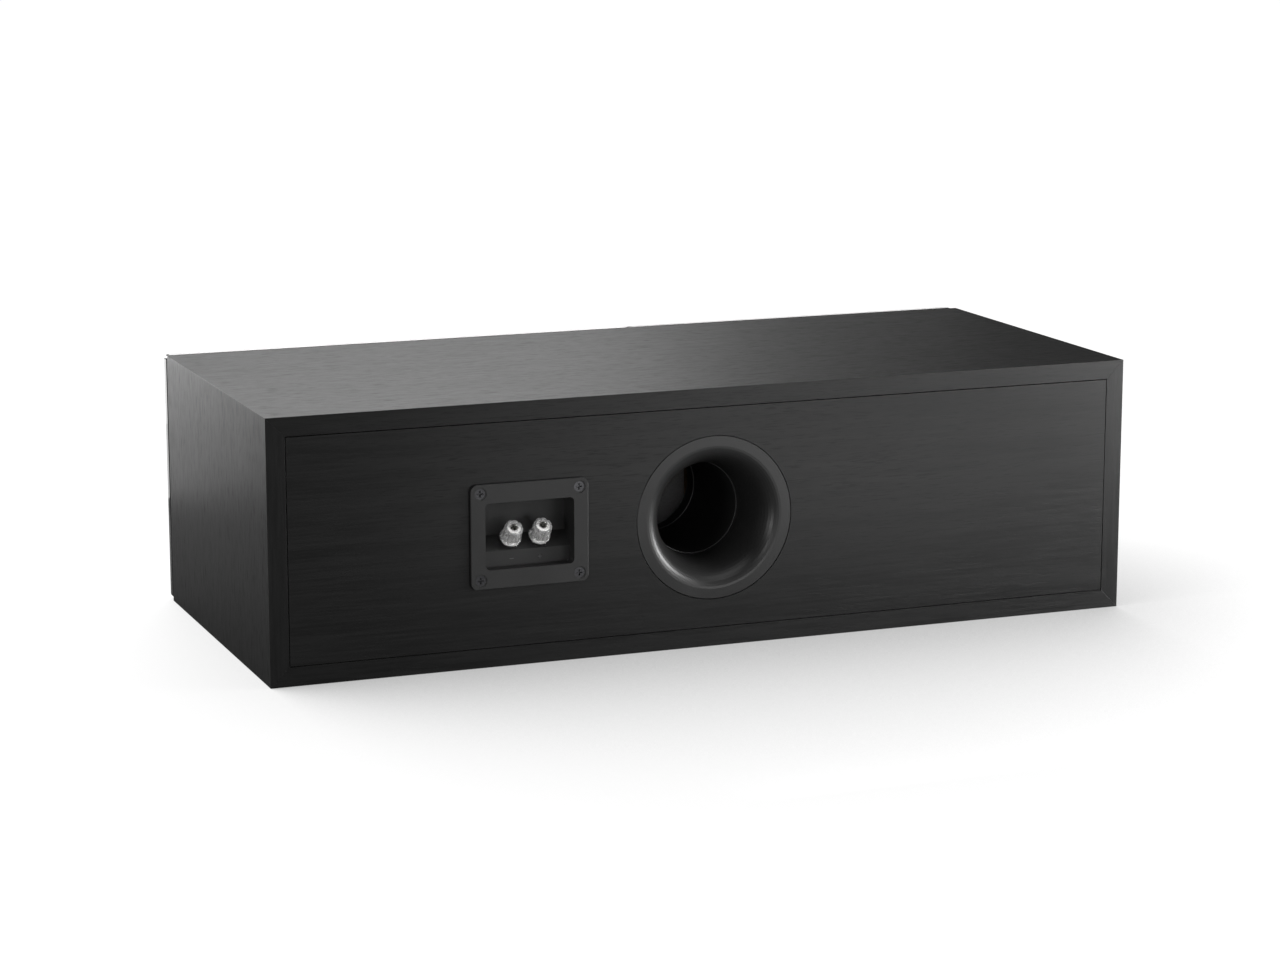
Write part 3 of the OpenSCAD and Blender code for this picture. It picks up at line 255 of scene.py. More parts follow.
def metal(name, colour, rough):
    """Plated metal with fine marks and uneven tone."""
    f = Finish(name, Metallic=1.0)
    marks = f.noise(1400.0, detail=3.0, rough=0.65)
    slow = f.noise(60.0, detail=2.0)
    low = tuple(c * 0.82 for c in colour)
    f.set("Base Color", f.blend(f.between(slow, 0.35, 0.7), colour, low))
    f.set("Roughness", f.between(marks, 0.3, 0.7, rough * 0.8, rough * 1.3))
    f.bump(marks, 0.00002, 0.35)
    return f.material


def clear():
    """Clear plastic, slightly milky, with moulding ripple."""
    f = Finish("clear_polycarbonate", Base_Color=0.95, Transmission_Weight=0.8, IOR=1.5)
    ripple = f.noise(420.0, detail=1.0)
    f.set("Roughness", f.between(f.noise(1500.0, detail=2.0), 0.4, 0.7, 0.03, 0.07))
    f.bump(ripple, 0.00003, 0.3)
    return f.material


def foam_cells(name, colour, size, depth):
    """Open-cell foam with pits of that size and depth in metres."""
    f = Finish(name, Specular_IOR_Level=0.2, Sheen_Weight=0.25, Sheen_Roughness=0.5)
    pits = f.cells(1.0 / size, f.warp((300.0,) * 3, (0.0004,) * 3))
    # The pits are darker than the foam between them: painted shade in the hollows
    tone = f.between(pits, 0.1, 0.6)
    f.set("Base Color", f.blend(tone, colour * 0.45, colour))
    f.set("Roughness", f.between(pits, 0.0, 0.8, 0.97, 0.86))
    f.bump(pits, depth, 0.9)
    return f.material


def rubber():
    """Matt black rubber with a faint bloom."""
    f = Finish("surround_rubber", Specular_IOR_Level=0.4)
    bloom = f.noise(90.0, detail=3.0)
    fine = f.noise(3200.0, detail=2.0)
    f.set("Base Color", f.blend(f.between(bloom, 0.35, 0.7), 0.010, 0.018))
    f.set("Roughness", f.between(bloom, 0.3, 0.7, 0.48, 0.60))
    f.bump(fine, 0.00003, 0.5)
    return f.material


def cone_paper():
    """Pressed fibre cone: short dark and pale fibres in a near-black mat."""
    f = Finish("cone_fibre", Specular_IOR_Level=0.35, Sheen_Weight=0.08, Sheen_Roughness=0.4)
    place = f.warp((160.0,) * 3, (0.0024,) * 3)
    fibre_a = f.noise((2600.0, 500.0, 300.0), place, detail=2.0, rough=0.6)
    fibre_b = f.noise((300.0, 500.0, 2600.0), place, detail=2.0, rough=0.6)
    mat = f.calc("MAXIMUM", fibre_a, fibre_b)
    f.set("Base Color", f.blend(f.between(mat, 0.55, 0.76), 0.014, 0.045))
    f.set("Roughness", f.between(mat, 0.45, 0.75, 0.62, 0.48))
    f.bump(mat, 0.00012, 0.7)
    return f.material


def cloth(name, colour, thread, sheen=0.2):
    """Plain weave of threads that wide in metres, in the plane of the driver's face."""
    f = Finish(name, Specular_IOR_Level=0.3, Sheen_Weight=sheen, Sheen_Roughness=0.4)
    split = f.node("ShaderNodeSeparateXYZ")
    f.plug(split.inputs[0], f.place)
    warp, weft = (f.calc("SINE", f.calc("MULTIPLY", split.outputs[axis], math.pi / thread)) for axis in "XZ")
    rise = f.calc("ABSOLUTE", f.calc("MULTIPLY", warp, weft))
    low = tuple(c * 0.5 for c in colour)
    # The colour halves where the weave dips between threads: painted shade between the threads
    f.set("Base Color", f.blend(f.between(rise, 0.0, 0.8), low, colour))
    f.set("Roughness", f.between(rise, 0.0, 1.0, 0.9, 0.7))
    f.bump(rise, 0.00008, 0.8)
    return f.material


def ferrite():
    """Dark pressed ferrite with a few pale chips."""
    f = Finish("ferrite", Specular_IOR_Level=0.45)
    grit = f.noise(1900.0, detail=4.0, rough=0.7)
    chips = f.between(f.noise(160.0, detail=3.0, rough=0.7), 0.66, 0.72)
    f.set("Base Color", f.blend(chips, f.blend(f.between(grit, 0.35, 0.7), 0.022, 0.04), 0.06))
    f.set("Roughness", f.between(grit, 0.3, 0.7, 0.62, 0.78))
    f.bump(grit, 0.00008, 0.6)
    return f.material


def circuit_board():
    """Green solder mask over woven glass."""
    f = Finish("circuit_board", Specular_IOR_Level=0.5, Coat_Weight=0.4, Coat_Roughness=0.2)
    weave = f.calc("MULTIPLY", f.noise((1800.0, 200.0, 200.0), detail=1.0),
                   f.noise((200.0, 1800.0, 200.0), detail=1.0))
    f.set("Base Color", f.blend(f.between(weave, 0.15, 0.4), (0.016, 0.06, 0.026), (0.03, 0.10, 0.045)))
    f.set("Roughness", f.between(weave, 0.1, 0.4, 0.3, 0.4))
    f.bump(weave, 0.00003, 0.4)
    return f.material


def enamelled_copper():
    """Close turns of enamelled wire."""
    f = Finish("enamelled_copper", Metallic=0.85, Coat_Weight=0.6, Coat_Roughness=0.15)
    split = f.node("ShaderNodeSeparateXYZ")
    f.plug(split.inputs[0], f.place)
    wire = 0.0011
    turns = f.calc("ABSOLUTE", f.calc("SINE", f.calc("MULTIPLY", split.outputs["Z"], math.pi / wire)))
    tint = f.noise(120.0, detail=2.0)
    f.set("Base Color", f.blend(f.between(tint, 0.3, 0.7), (0.55, 0.20, 0.09), (0.68, 0.28, 0.13)))
    f.set("Roughness", f.between(turns, 0.0, 0.9, 0.5, 0.26))
    f.bump(turns, 0.0003, 0.9)
    return f.material


def coloured(name, colour, rough, grain=1200.0, depth=0.00003, **values):
    """Painted, coated or moulded in a colour, with fine grain and uneven tone."""
    f = Finish(name, **values)
    fine = f.noise(grain, detail=3.0, rough=0.6)
    slow = f.noise(50.0, detail=2.0)
    low = tuple(c * 0.8 for c in colour)
    f.set("Base Color", f.blend(f.between(slow, 0.3, 0.7), low, colour))
    f.set("Roughness", f.between(fine, 0.3, 0.7, rough - 0.05, rough + 0.07))
    f.bump(fine, depth, 0.5)
    return f.material


X_AXIS, Z_AXIS = 0, 2
ash_lengthwise = wood_wrap("black_ash_lengthwise", X_AXIS)
ash_upright = wood_wrap("black_ash_upright", Z_AXIS)
looks = {
    "raw_board": board_fibre("fibre_board", (0.30, 0.20, 0.12), (0.17, 0.105, 0.06)),
    "black_board": board_fibre("black_painted_board", (0.02,) * 3, (0.011,) * 3, rough=0.7),
    "gloss_black": lacquer(),
    "foam": foam_cells("damping_foam", 0.10, size=0.0022, depth=0.0006),
    "port_plastic": moulded("port_satin_plastic", 0.018, 0.36, grain=1800.0, depth=0.00002),
    "port_card": moulded("port_tube_plastic", 0.012, 0.5, grain=1800.0, depth=0.00003),
    "cup_plastic": moulded("cup_moulded_plastic", 0.022, 0.48, grain=3000.0, depth=0.00004),
    "seal_foam": foam_cells("seal_foam", 0.02, size=0.0006, depth=0.0001),
    "black_screws": metal("black_zinc_screws", (0.10, 0.10, 0.105), 0.34),
    "plated_brass": metal("nickel_plating", (0.86, 0.85, 0.83), 0.26),
    "clear_plastic": clear(),
    "circuit_board": circuit_board(),
    "nylon": coloured("white_nylon", (0.72, 0.71, 0.66), 0.45, Subsurface_Weight=0.15,
                      Subsurface_Radius=(0.002,) * 3),
    "copper": enamelled_copper(),
    "capacitor_film": coloured("capacitor_sleeve", (0.04, 0.09, 0.32), 0.34, Coat_Weight=0.3),
    "resistor_ceramic": coloured("cement_resistor", (0.66, 0.65, 0.60), 0.8, grain=700.0, depth=0.0001),
    "lead_insulation": coloured("lead_insulation", (0.22, 0.012, 0.012), 0.42),
    "cast_basket": coloured("powder_coated_casting", (0.022, 0.022, 0.023), 0.5, grain=1500.0,
                            depth=0.00008),
    "surround_rubber": rubber(),
    "cone_fibre": cone_paper(),
    "dust_cap_plastic": moulded("dust_cap", 0.016, 0.34, grain=900.0, depth=0.00003),
    "spider_cloth": cloth("spider_cloth", (0.42, 0.27, 0.12), thread=0.0009),
    "motor_steel": metal("zinc_plated_steel", (0.50, 0.50, 0.49), 0.38),
    "ferrite": ferrite(),
    "tweeter_plastic": moulded("tweeter_plastic", 0.018, 0.40, grain=2400.0, depth=0.00003),
    "dome_silk": cloth("dome_silk", (0.03, 0.03, 0.032), thread=0.00035, sheen=0.35),
    # Two looks that are no record slot: the baffle's, seen through the port, a pale grey in place of its
    # black that paints light on it; and the plus and minus
    "pale_baffle_painted_light": board_fibre("pale_board_painted_light", (0.52, 0.52, 0.53), (0.43, 0.43, 0.44), rough=0.75),
    "mark": moulded("mark_ink", 0.09, 0.5, grain=3000.0, depth=0.00002),
}


def wear(obj, material):
    """Gives the object that material and no other."""
    obj.data.materials.clear()
    obj.data.materials.append(material)


slot_of = {name: obj.data.materials[0].name.split(".")[0] for name, obj in nodes.items()}
for name, obj in nodes.items():
    if slot_of[name] == "black_ash":
        wear(obj, ash_upright if name in ("cabinet_left_side", "cabinet_right_side") else ash_lengthwise)
    else:
        wear(obj, looks[slot_of[name]])

# ---------- Pieces ----------

BAFFLE_Y = -120.5  # the baffle's front face, in mm: the drivers' heights count from it, inwards
REAR_Y = 127.5  # the back board's outer face, in mm: the port's depths count from it, inwards
MIDDLE_Z = 83.0  # height of the middles of the drivers and the port, in mm
WOOFERS = (("left", 168.0), ("right", -168.0))  # side and x of the middle, in mm


def add_piece(name, mesh, body, slot, *stands_for, material=None):
    """A new piece in a record slot's finish, which rides on a body if one is named."""
    piece = bpy.data.objects.new(name, mesh)
    scene.collection.objects.link(piece)
    wear(piece, material or looks[slot])
    if body:
        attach(piece, body)
    if stands_for:
        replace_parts(piece, *stands_for)
    return piece


def closed_mesh(name, points, faces):
    """A mesh through points in metres, with its faces turned outwards."""
    mesh = bpy.data.meshes.new(name)
    mesh.from_pydata(points, [], faces)
    turned = bmesh.new()
    turned.from_mesh(mesh)
    bmesh.ops.recalc_face_normals(turned, faces=turned.faces)
    turned.to_mesh(mesh)
    turned.free()
    return mesh


def surface(name, rings, angle):
    """Skin over rings of points, in mm: round each ring, and from the last ring back to the first.

    Edges that bend by more than angle degrees are shaded sharp.
    """
    count = len(rings[0])
    points = [tuple(v * MM for v in p) for ring in rings for p in ring]
    faces = []
    for i in range(len(rings)):
        a, b = i * count, (i + 1) % len(rings) * count
        for k in range(count):
            n = (k + 1) % count
            faces.append((a + k, a + n, b + n, b + k))
    mesh = closed_mesh(name, points, faces)
    mesh.shade_smooth()
    mesh.set_sharp_from_angle(angle=math.radians(angle))
    return mesh


def turned_ring(name, x, z, outline, steps=128, angle=40.0):
    """A closed outline of (radius, y) points in mm, turned about a line along Y through x, z."""
    rings = []
    for radius, y in outline:
        ring = []
        for k in range(steps):
            turn = 2 * math.pi * k / steps
            ring.append((x + radius * math.cos(turn), y, z + radius * math.sin(turn)))
        rings.append(ring)
    return surface(name, rings, angle)


def softened(node, width, angle=28.0, segments=2):
    """A copy of a CAD node with its edges sharper than angle eased by width mm, standing for the node."""
    weld_gap, flat_angle = 1e-6, 0.2
    cad = nodes[node]
    mesh = cad.data.copy()
    if "custom_normal" in mesh.attributes:
        mesh.attributes.remove(mesh.attributes["custom_normal"])
    welded = bmesh.new()
    welded.from_mesh(mesh)
    bmesh.ops.remove_doubles(welded, verts=welded.verts, dist=weld_gap)
    bmesh.ops.dissolve_limit(
        welded, angle_limit=math.radians(flat_angle), verts=welded.verts, edges=welded.edges
    )
    for part in (*welded.edges, *welded.faces):
        part.smooth = True
    welded.to_mesh(mesh)
    welded.free()
    piece = add_piece(node + "_eased", mesh, cad["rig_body"], slot_of[node], node,
                      material=cad.data.materials[0])
    bevel = piece.modifiers.new("eased", "BEVEL")
    bevel.width, bevel.segments = width * MM, segments
    bevel.limit_method, bevel.angle_limit = "ANGLE", math.radians(angle)
    bevel.miter_outer = "MITER_ARC"
    flat = piece.modifiers.new("flat", "WEIGHTED_NORMAL")
    flat.keep_sharp = True


for board in ("cabinet_top", "cabinet_bottom", "cabinet_left_side", "cabinet_right_side"):
    softened(board, 0.1)
softened("rear_panel", 0.25)
softened("front_panel", 0.25, angle=50.0)
softened("terminal_cup", 0.55, segments=3)
for node in ("left_woofer_basket", "right_woofer_basket", "tweeter_faceplate"):
    softened(node, 0.4)

# ---------- Surrounds and spiders ----------


def roll_halves(name, x, slot, node, *, middle, reach, rise, thick, rims, level):
    """The two halves of a half-roll surround, as thin skins that meet on its crest.

    The outer one starts on the frame and the inner one on the moving part. The roll is
    reach wide to each side of the radius middle and rises by rise from level. The skins end flat at rims.
    """
    base = BAFFLE_Y + level
    steps = 20
    for half, first, rim in (("outer", 0.0, rims[1]), ("inner", 180.0, rims[0])):
        over, under = [], []
        for i in range(steps + 1):
            turn = math.radians(first + (90.0 - first) * i / steps)
            across, out = math.cos(turn), math.sin(turn)
            over.append((middle + reach * across, base - rise * out))
            under.append((middle + (reach - thick) * across, base - (rise - thick) * out))
        outline = [(rim, base + thick), (rim, base)] + over + under[::-1]
        outline.append((under[0][0], base + thick))
        piece_name = f"{name}_{half}_half"
        piece = add_piece(piece_name, turned_ring(piece_name, x, MIDDLE_Z, outline), None, slot)
        if half == "outer":
            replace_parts(piece, node)
        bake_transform(piece)


def cupped_spider(side, x):
    """The woven spider, dished and corrugated between the frame's ledge and the coil's former."""
    former_r, near_r, far_r, ledge_r = 13.1, 16.1, 43.6, 46.6  # corrugated from near to far
    former_h, drop, thick = 21.0, 4.5, 0.5
    waves, wave_h, steps = 5, 1.1, 60
    top = [(former_r, former_h)]
    for i in range(steps + 1):
        share = i / steps
        dip = wave_h * (1 - math.cos(2 * waves * math.pi * share)) / 2
        top.append((near_r + (far_r - near_r) * share, former_h - drop * share - dip))
    top.append((ledge_r, former_h - drop))
    outline = [(r, BAFFLE_Y + h) for r, h in top] + [(r, BAFFLE_Y + h + thick) for r, h in top[::-1]]
    name = f"{side}_cupped_spider"
    piece = add_piece(name, turned_ring(name, x, MIDDLE_Z, outline, steps=96), None, "spider_cloth",
                      f"{side}_woofer_spider")
    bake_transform(piece)


for side, x in WOOFERS:
    roll_halves(f"{side}_roll", x, "surround_rubber", f"{side}_woofer_surround",
                middle=48.3, reach=4.2, rise=4.2, thick=0.5, rims=(41.7, 57.0), level=-2.3)
roll_halves("tweeter_roll", 0.0, "dome_silk", "tweeter_surround",
            middle=14.25, reach=1.65, rise=0.99, thick=0.25, rims=(12.65, 16.0), level=-2.3)
for side, x in WOOFERS:
    cupped_spider(side, x)

# ---------- Binding posts: clear fluted caps over metal cores ----------

POST_LEAN = math.radians(43.0)  # from upright, towards the rear
POST_AXIS = Vector((0.0, math.sin(POST_LEAN), math.cos(POST_LEAN)))
POST_SIDE = Vector((1.0, 0.0, 0.0))
POST_UP = POST_AXIS.cross(POST_SIDE)
POST_FOOT_Y, POST_FOOT_Z = 116.5, 76.0  # where the axes leave the cup's shelf, in mm
CAP_REST = 4.1  # height of a cap above its post's foot at rest, in mm
FLUTES, RING_POINTS = 8, 160
FLUTE_REACH, FLUTE_DEPTH, FLUTE_CURVE = 0.19, 0.125, 1.5  # half width in radians, share of the radius, power

# Outlines round a closed section, as (height above CAP_REST, radius, groove), where groove is how far
# the flutes bite, from 0 to 1
CAP = [
    (0.25, 4.45, 0), (0.2, 6.2, 0), (0.3, 6.6, 0), (0.7, 6.85, 0), (1.9, 6.85, 0), (2.25, 6.72, 0),
    (2.42, 6.45, 0), (2.7, 6.40, 0.1), (3.1, 6.34, 0.7), (3.6, 6.28, 1), (7.0, 6.06, 1), (10.9, 5.8, 1),
    (11.3, 5.68, 1), (11.53, 5.45, 1), (11.6, 5.2, 1), (11.6, 2.95, 0), (11.52, 2.8, 0), (11.4, 2.75, 0),
    (10.9, 2.75, 0), (10.85, 2.9, 0), (10.85, 4.36, 0), (0.45, 4.36, 0),
]
CORE = [
    (0.0, 3.05, 0), (0.0, 4.15, 0), (0.15, 4.3, 0), (10.65, 4.3, 0), (10.8, 4.15, 0), (10.8, 2.72, 0),
    (11.3, 2.7, 0), (11.42, 2.62, 0), (11.42, 2.45, 0), (11.3, 2.36, 0), (10.5, 2.35, 0), (10.4, 3.05, 0),
]


def post_rings(x, outline):
    """Rings round a post's axis, one for each point of an outline, with its flutes cut in."""
    foot = Vector((x, POST_FOOT_Y, POST_FOOT_Z))
    half_pitch = math.pi / FLUTES
    rings = []
    for height, radius, groove in outline:
        ring = []
        for k in range(RING_POINTS):
            turn = 2 * math.pi * k / RING_POINTS
            off = (turn + half_pitch) % (2 * half_pitch) - half_pitch
            bite = max(0.0, 1.0 - (off / FLUTE_REACH) ** 2) ** FLUTE_CURVE
            here = radius * (1.0 - FLUTE_DEPTH * groove * bite)
            ring.append(foot + POST_AXIS * (height + CAP_REST) + POST_SIDE * here * math.cos(turn)
                        + POST_UP * here * math.sin(turn))
        rings.append(ring)
    return rings


for sign, x in (("positive", 114.5), ("negative", 133.5)):
    for part, outline, slot in (("cap", CAP, "clear_plastic"), ("core", CORE, "plated_brass")):
        name = f"{sign}_fluted_{part}"
        add_piece(name, surface(name, post_rings(x, outline), angle=35.0), f"{sign}_knob", slot,
                  f"{sign}_post_{part}")


def raised_mark(name, x, strokes):
    """Raised strokes of (width, height) in mm, all with one middle, on the cup's lower wall."""
    wall_y, middle_z = 121.0, 66.3
    sunk, rise, taper = 0.05, 0.25, 0.1
    points, faces = [], []
    for width, height in strokes:
        first = len(points)
        for y, less in ((wall_y - sunk, 0.0), (wall_y + rise, taper)):
            for u, v in ((-1, -1), (1, -1), (1, 1), (-1, 1)):
                points.append(((x + u * (width / 2 - less)) * MM, y * MM,
                               (middle_z + v * (height / 2 - less)) * MM))
        low, top = tuple(range(first, first + 4)), tuple(range(first + 4, first + 8))
        faces += [low, top]
        for k in range(4):
            n = (k + 1) % 4
            faces.append((low[k], low[n], top[n], top[k]))
    add_piece(name, closed_mesh(name, points, faces), "root", "cup_plastic", material=looks["mark"])


LONG, WIDE = 2.8, 0.5  # of a stroke, in mm
raised_mark("plus_mark", 114.6, [(LONG, WIDE), (WIDE, LONG)])
raised_mark("minus_mark", 133.2, [(LONG, WIDE)])

# ---------- Port: a tube and an inner flare, each with a rounded edge ----------

TUBE_IN, TUBE_OUT, TUBE_FROM, TUBE_TO = 29.7, 32.4, 36.0, 106.0  # radii and depths, in mm
NECK_IN, NECK_FROM, NECK_TO = 29.0, 106.4, 109.0
FLARE_IN, FLARE_FROM, FLARE_WIDENS, FLARE_LONG, FLARE_THICK = 29.9, 116.0, 10.5, 12.0, 2.0
COLLAR_IN, COLLAR_OUT, COLLAR_FROM = 32.5, 34.5, 97.0  # round the end of the tube
QUARTER_STEPS = 24


def port_ring(name, node, slot, outline):
    """A ring of the port from an outline of (radius, depth) points, standing for a CAD node."""
    mesh = turned_ring(name, 0.0, MIDDLE_Z, [(r, REAR_Y - d) for r, d in outline], steps=160, angle=30.0)
    add_piece(name, mesh, "root", slot, node)


def rounded(corner, a, b, radius):
    """Points of a rounded corner between the directions of a and b."""
    steps = 5
    corner, a, b = (Vector(v) for v in (corner, a, b))
    u, v = (a - corner).normalized(), (b - corner).normalized()
    middle = corner + (u + v) * radius
    return [tuple(middle - v * radius * math.cos(t) - u * radius * math.sin(t))
            for t in (math.pi / 2 * i / steps for i in range(steps + 1))]


port_ring("port_tube_eased", "port_tube", "port_card",
          [(TUBE_OUT, TUBE_FROM)]
          + rounded((TUBE_IN, TUBE_FROM), (TUBE_OUT, TUBE_FROM), (TUBE_IN, TUBE_TO), 0.5)
          + rounded((TUBE_IN, TUBE_TO), (TUBE_IN, TUBE_FROM), (TUBE_OUT, TUBE_TO), 0.4)
          + [(TUBE_OUT, TUBE_TO)])

quarter = [math.sin(math.pi / 2 * i / QUARTER_STEPS) for i in range(QUARTER_STEPS + 1)]
flare_inside = [(FLARE_IN + FLARE_WIDENS * (1 - math.sqrt(1 - s * s)), FLARE_FROM + FLARE_LONG * s)
                for s in quarter]
flare_outside = [(r + FLARE_THICK, d) for r, d in flare_inside[::-1] if r + FLARE_THICK > COLLAR_OUT]
port_ring("port_inner_flare_eased", "port_inner_flare", "port_plastic",
          rounded((NECK_IN, NECK_FROM), (COLLAR_IN, NECK_FROM), (NECK_IN, FLARE_FROM), 0.6)
          + [(NECK_IN, NECK_TO)] + flare_inside + flare_outside
          + [(COLLAR_OUT, FLARE_FROM), (COLLAR_OUT, COLLAR_FROM), (COLLAR_IN, COLLAR_FROM),
             (COLLAR_IN, NECK_FROM)])
# The baffle wears pale grey in place of its black: painted light on its back, where the port shows it
wear(nodes["front_baffle"], looks["pale_baffle_painted_light"])

# ---------- Foam pads with an egg-crate face ----------

PAD_STEP, PAD_LEAST_STEPS = 3, 12  # grid of a pad's faces, in mm and in number
PAD_PITCH, PAD_MEAN, PAD_WAVE = 22.0, 9.4, 2.4  # of the egg-crate face, in mm
PAD_EDGE_HEIGHTS = (5.6, 7.5)  # at the edge and one step in
PAD_GAP, PAD_EDGE_INSET = 0.2, 0.5  # inside the CAD's block, in mm


def foam_pad(name, low, high, face, side):
    """A pad inside the block from low to high, in metres.

    face is the axis that its thickness lies along. Its flat back is at the low end if side is 1, and
    at the high end if side is -1.
    """
    low, high = Vector(low) / MM, Vector(high) / MM
    size = high - low
    u, v = [k for k in range(3) if k != face]
    nu, nv = (max(PAD_LEAST_STEPS, int(size[k] / PAD_STEP)) for k in (u, v))

    def place(i, j, top):
        p = Vector()
        p[u], p[v] = low[u] + size[u] * i / nu, low[v] + size[v] * j / nv
        edge = min(i, nu - i, j, nv - j)
        if not top:
            rise = PAD_GAP
        elif edge < len(PAD_EDGE_HEIGHTS):
            rise = PAD_EDGE_HEIGHTS[edge]
        else:
            wave_u, wave_v = (math.sin(2 * math.pi * (p[k] - low[k]) / PAD_PITCH) for k in (u, v))
            rise = PAD_MEAN + PAD_WAVE * (wave_u * wave_v)
        inset = PAD_EDGE_INSET if edge == 0 and top else PAD_GAP
        for axis, index, count in ((u, i, nu), (v, j, nv)):
            if index == 0:
                p[axis] += inset
            elif index == count:
                p[axis] -= inset
        p[face] = low[face] + rise if side > 0 else high[face] - rise
        return p * MM

    def at(i, j, top):
        """The number of a grid point, on the back or on the face."""
        return (top * (nu + 1) + i) * (nv + 1) + j

    points = [place(i, j, top) for top in (False, True) for i in range(nu + 1) for j in range(nv + 1)]
    faces = []
    for i in range(nu):
        for j in range(nv):
            faces.append((at(i, j, 0), at(i, j + 1, 0), at(i + 1, j + 1, 0), at(i + 1, j, 0)))
            faces.append((at(i, j, 1), at(i + 1, j, 1), at(i + 1, j + 1, 1), at(i, j + 1, 1)))
    border = [(i, 0) for i in range(nu)] + [(nu, j) for j in range(nv)]
    border += [(i, nv) for i in range(nu, 0, -1)] + [(0, j) for j in range(nv, 0, -1)]
    for k, (i, j) in enumerate(border):
        m, n = border[(k + 1) % len(border)]
        faces.append((at(i, j, 0), at(m, n, 0), at(m, n, 1), at(i, j, 1)))
    mesh = closed_mesh(name, points, faces)
    mesh.shade_smooth()
    pad = add_piece(name, mesh, "root", "foam")
    return pad


PAD_BLOCKS = (  # name, low and high corner in metres, face and side as in foam_pad
    ("side_pad_left", (0.266, -0.1005, 0.014), (0.278, 0.0985, 0.152), X_AXIS, -1),
    ("side_pad_right", (-0.278, -0.1005, 0.014), (-0.266, 0.0985, 0.152), X_AXIS, 1),
    ("roof_pad_left", (0.087, -0.1005, 0.142), (0.264, 0.0985, 0.154), Z_AXIS, -1),
    ("roof_pad_right", (-0.264, -0.1005, 0.142), (-0.087, 0.0985, 0.154), Z_AXIS, -1),
)
for name, low, high, face, side in PAD_BLOCKS:
    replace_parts(foam_pad(name, low, high, face, side), "damping_pads")

# ---------- Studio ----------

WHITE = (1, 1, 1, 1)
# How bright the white surroundings are to each kind of ray that sees them
SEEN = {"Is Camera Ray": 1.0, "Is Transmission Ray": 1.0, "Is Glossy Ray": 0.07}


def seen_white(tree):
    """The brightness of the white surroundings to the ray at hand."""
    path = tree.nodes.new("ShaderNodeLightPath")
    share = 0.0
    for kind, part in SEEN.items():
        share = math_node(tree, "MAXIMUM", share, math_node(tree, "MULTIPLY", path.outputs[kind], part))
    return share


def studio_floor():
    """A plain pale floor. Its white is its own glow, which dims beside what stands on it."""
    half, sunk, grey = 9, 0.0002, 0.16
    dim_reach, dim_power, dim_samples = 0.6, 0.8, 12
    dim_towards = Vector((0.9, -1.5, 1.0)).normalized()
    mesh = bpy.data.meshes.new("studio_floor")
    mesh.from_pydata([(-half, -half, 0), (half, -half, 0), (half, half, 0), (-half, half, 0)], [],
                     [(0, 1, 2, 3)])
    floor = bpy.data.objects.new("studio_floor", mesh)
    scene.collection.objects.link(floor)
    floor.location.z = -sunk
    material = bpy.data.materials.new("studio_floor")
    material.use_nodes = True
    tree = material.node_tree
    tree.nodes.clear()
    plain = tree.nodes.new("ShaderNodeBsdfDiffuse")
    plain.inputs["Color"].default_value = (grey, grey, grey, 1)
    near = tree.nodes.new("ShaderNodeAmbientOcclusion")
    near.samples = dim_samples
    near.inputs["Distance"].default_value = dim_reach
    lean = tree.nodes.new("ShaderNodeCombineXYZ")
    for axis, value in zip("XYZ", dim_towards):
        lean.inputs[axis].default_value = value
    tree.links.new(lean.outputs[0], near.inputs["Normal"])
    soft = math_node(tree, "POWER", near.outputs["AO"], dim_power)
    glow = tree.nodes.new("ShaderNodeEmission")
    glow.inputs["Color"].default_value = WHITE
    tree.links.new(math_node(tree, "MULTIPLY", soft, seen_white(tree)), glow.inputs["Strength"])
    both = tree.nodes.new("ShaderNodeAddShader")
    tree.links.new(plain.outputs[0], both.inputs[0])
    tree.links.new(glow.outputs[0], both.inputs[1])
    out = tree.nodes.new("ShaderNodeOutputMaterial")
    tree.links.new(both.outputs[0], out.inputs["Surface"])
    wear(floor, material)


def studio_world():
    """White surroundings, which light the object only by their least share."""
    least = 0.06
    world = bpy.data.worlds.new("studio")
    scene.world = world
    world.use_nodes = True
    tree = world.node_tree
    sky = tree.nodes["Background"]
    sky.inputs["Color"].default_value = WHITE
    tree.links.new(math_node(tree, "MAXIMUM", seen_white(tree), least), sky.inputs["Strength"])


def softbox(name, place, target, width, height, brightness):
    """A rectangular lamp of even brightness, where 1 is a white card in full light."""
    light = bpy.data.lights.new(name, "AREA")
    light.shape = "RECTANGLE"
    light.size, light.size_y = width, height
    light.energy = brightness * math.pi * width * height
    lamp = bpy.data.objects.new(name, light)
    lamp.location = place
    lamp.rotation_euler = (Vector(target) - Vector(place)).to_track_quat("-Z", "Y").to_euler()
    lamp.visible_camera = False
    scene.collection.objects.link(lamp)


studio_floor()
studio_world()
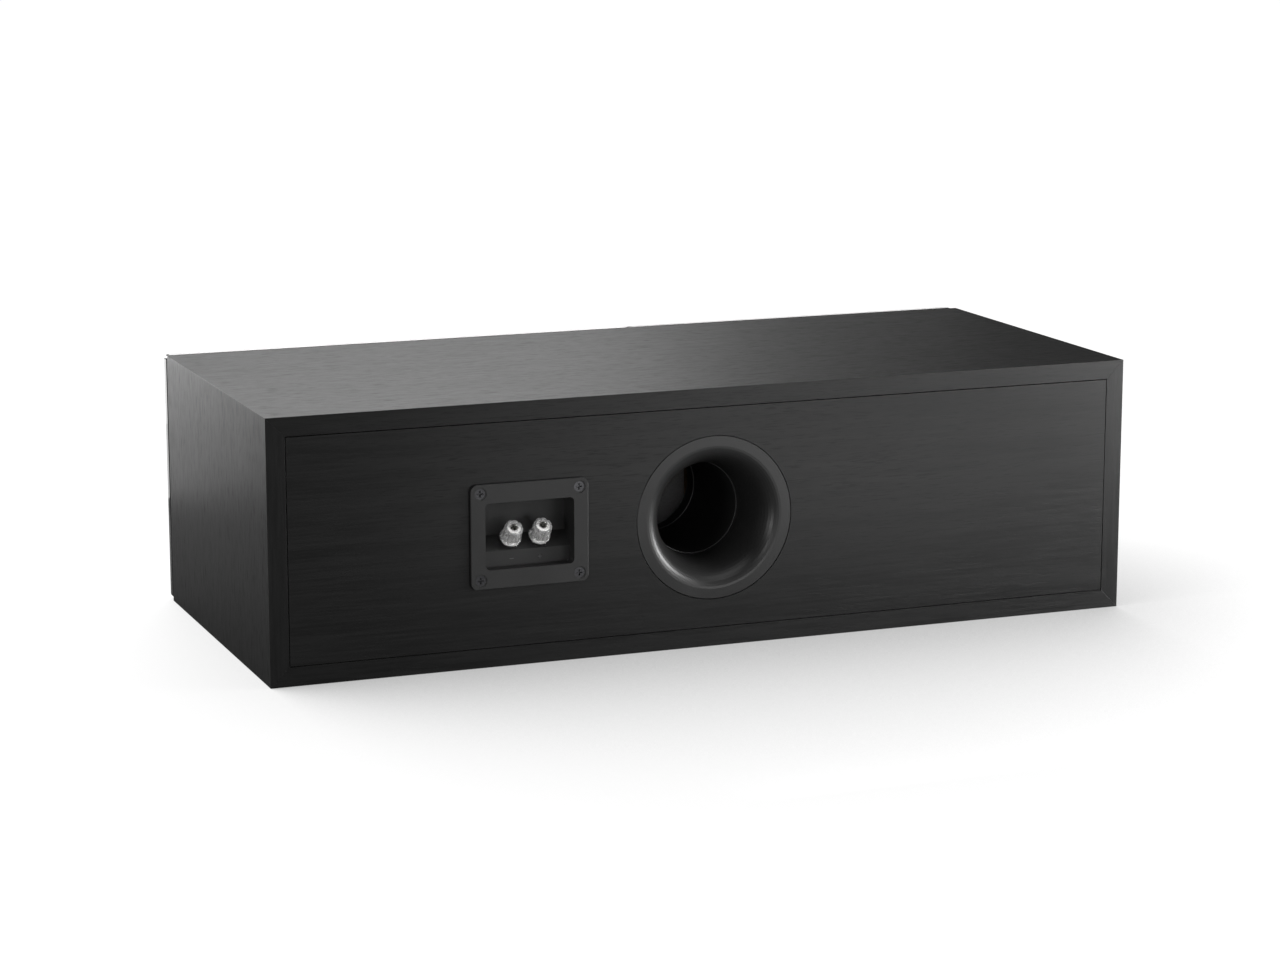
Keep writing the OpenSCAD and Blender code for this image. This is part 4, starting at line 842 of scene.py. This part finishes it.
# Sheen on the top, seen from behind: a sheet and two strips far beyond the front
softbox("back_box", (-0.3, -2.6, 1.3), (-0.3, 0.0, 1.3), 1.6, 0.7, 3.0)
softbox("edge_box", (-0.65, -2.6, 0.58), (-0.65, 0.0, 0.58), 0.7, 0.07, 2.2)
softbox("edge_end_box", (-1.28, -2.6, 0.58), (-1.28, 0.0, 0.58), 0.55, 0.07, 1.5)
# Sheen on the left end, from beside the front
softbox("low_box", (0.39, -0.4, 0.22), (0.39, 0.0, 0.22), 0.12, 0.16, 12.5)
softbox("low_strip", (0.51, -0.7, 0.08), (0.51, 0.0, 0.08), 0.38, 0.14, 0.5)
softbox("near_strip", (0.39, -0.4, 0.065), (0.39, 0.0, 0.065), 0.14, 0.11, 0.85)
# The back board: from its right, and low behind it
softbox("right_box", (-0.75, 0.5, 0.25), (-0.1, 0.1, 0.08), 0.4, 0.4, 11)
softbox("rear_box", (-0.5, 1.0, 0.055), (-0.5, 0.0, 0.055), 0.6, 0.09, 4.1)
softbox("foot_box", (-0.225, 0.45, 0.043), (-0.225, 0.0, 0.043), 0.25, 0.075, 1.2)
softbox("cup_box", (0.0, 0.45, 0.043), (0.0, 0.0, 0.043), 0.2, 0.075, 0.75)
# The port and the posts, from both sides
softbox("left_box", (0.95, 0.75, 0.14), (0.0, 0.13, 0.08), 0.22, 0.22, 13)
softbox("flare_box", (-0.75, 0.36, 0.12), (0.0, 0.13, 0.08), 0.26, 0.22, 14)
# Soft light over all of it, on the front, and from beside the camera
softbox("top_box", (-0.2, 0.1, 1.8), (0.0, 0.0, 0.1), 2.2, 1.8, 1.0)
softbox("front_box", (1.8, -2.0, 1.4), (0.0, 0.0, 0.1), 1.0, 1.0, 3)
softbox("eye_box", (0.83, 2.12, 0.55), (0.0, 0.1, 0.08), 0.5, 0.5, 6.0)

eye = bpy.data.cameras.new("camera")
eye.lens, eye.sensor_width = 95.4, 36.0
eye.clip_start, eye.clip_end = 0.05, 60.0
camera = bpy.data.objects.new("camera", eye)
camera.location = (0.807, 2.054, 0.532)
camera.rotation_euler = (math.radians(78.5), 0.0, math.radians(158.56))
scene.collection.objects.link(camera)
scene.camera = camera
scene.view_settings.view_transform = "Standard"
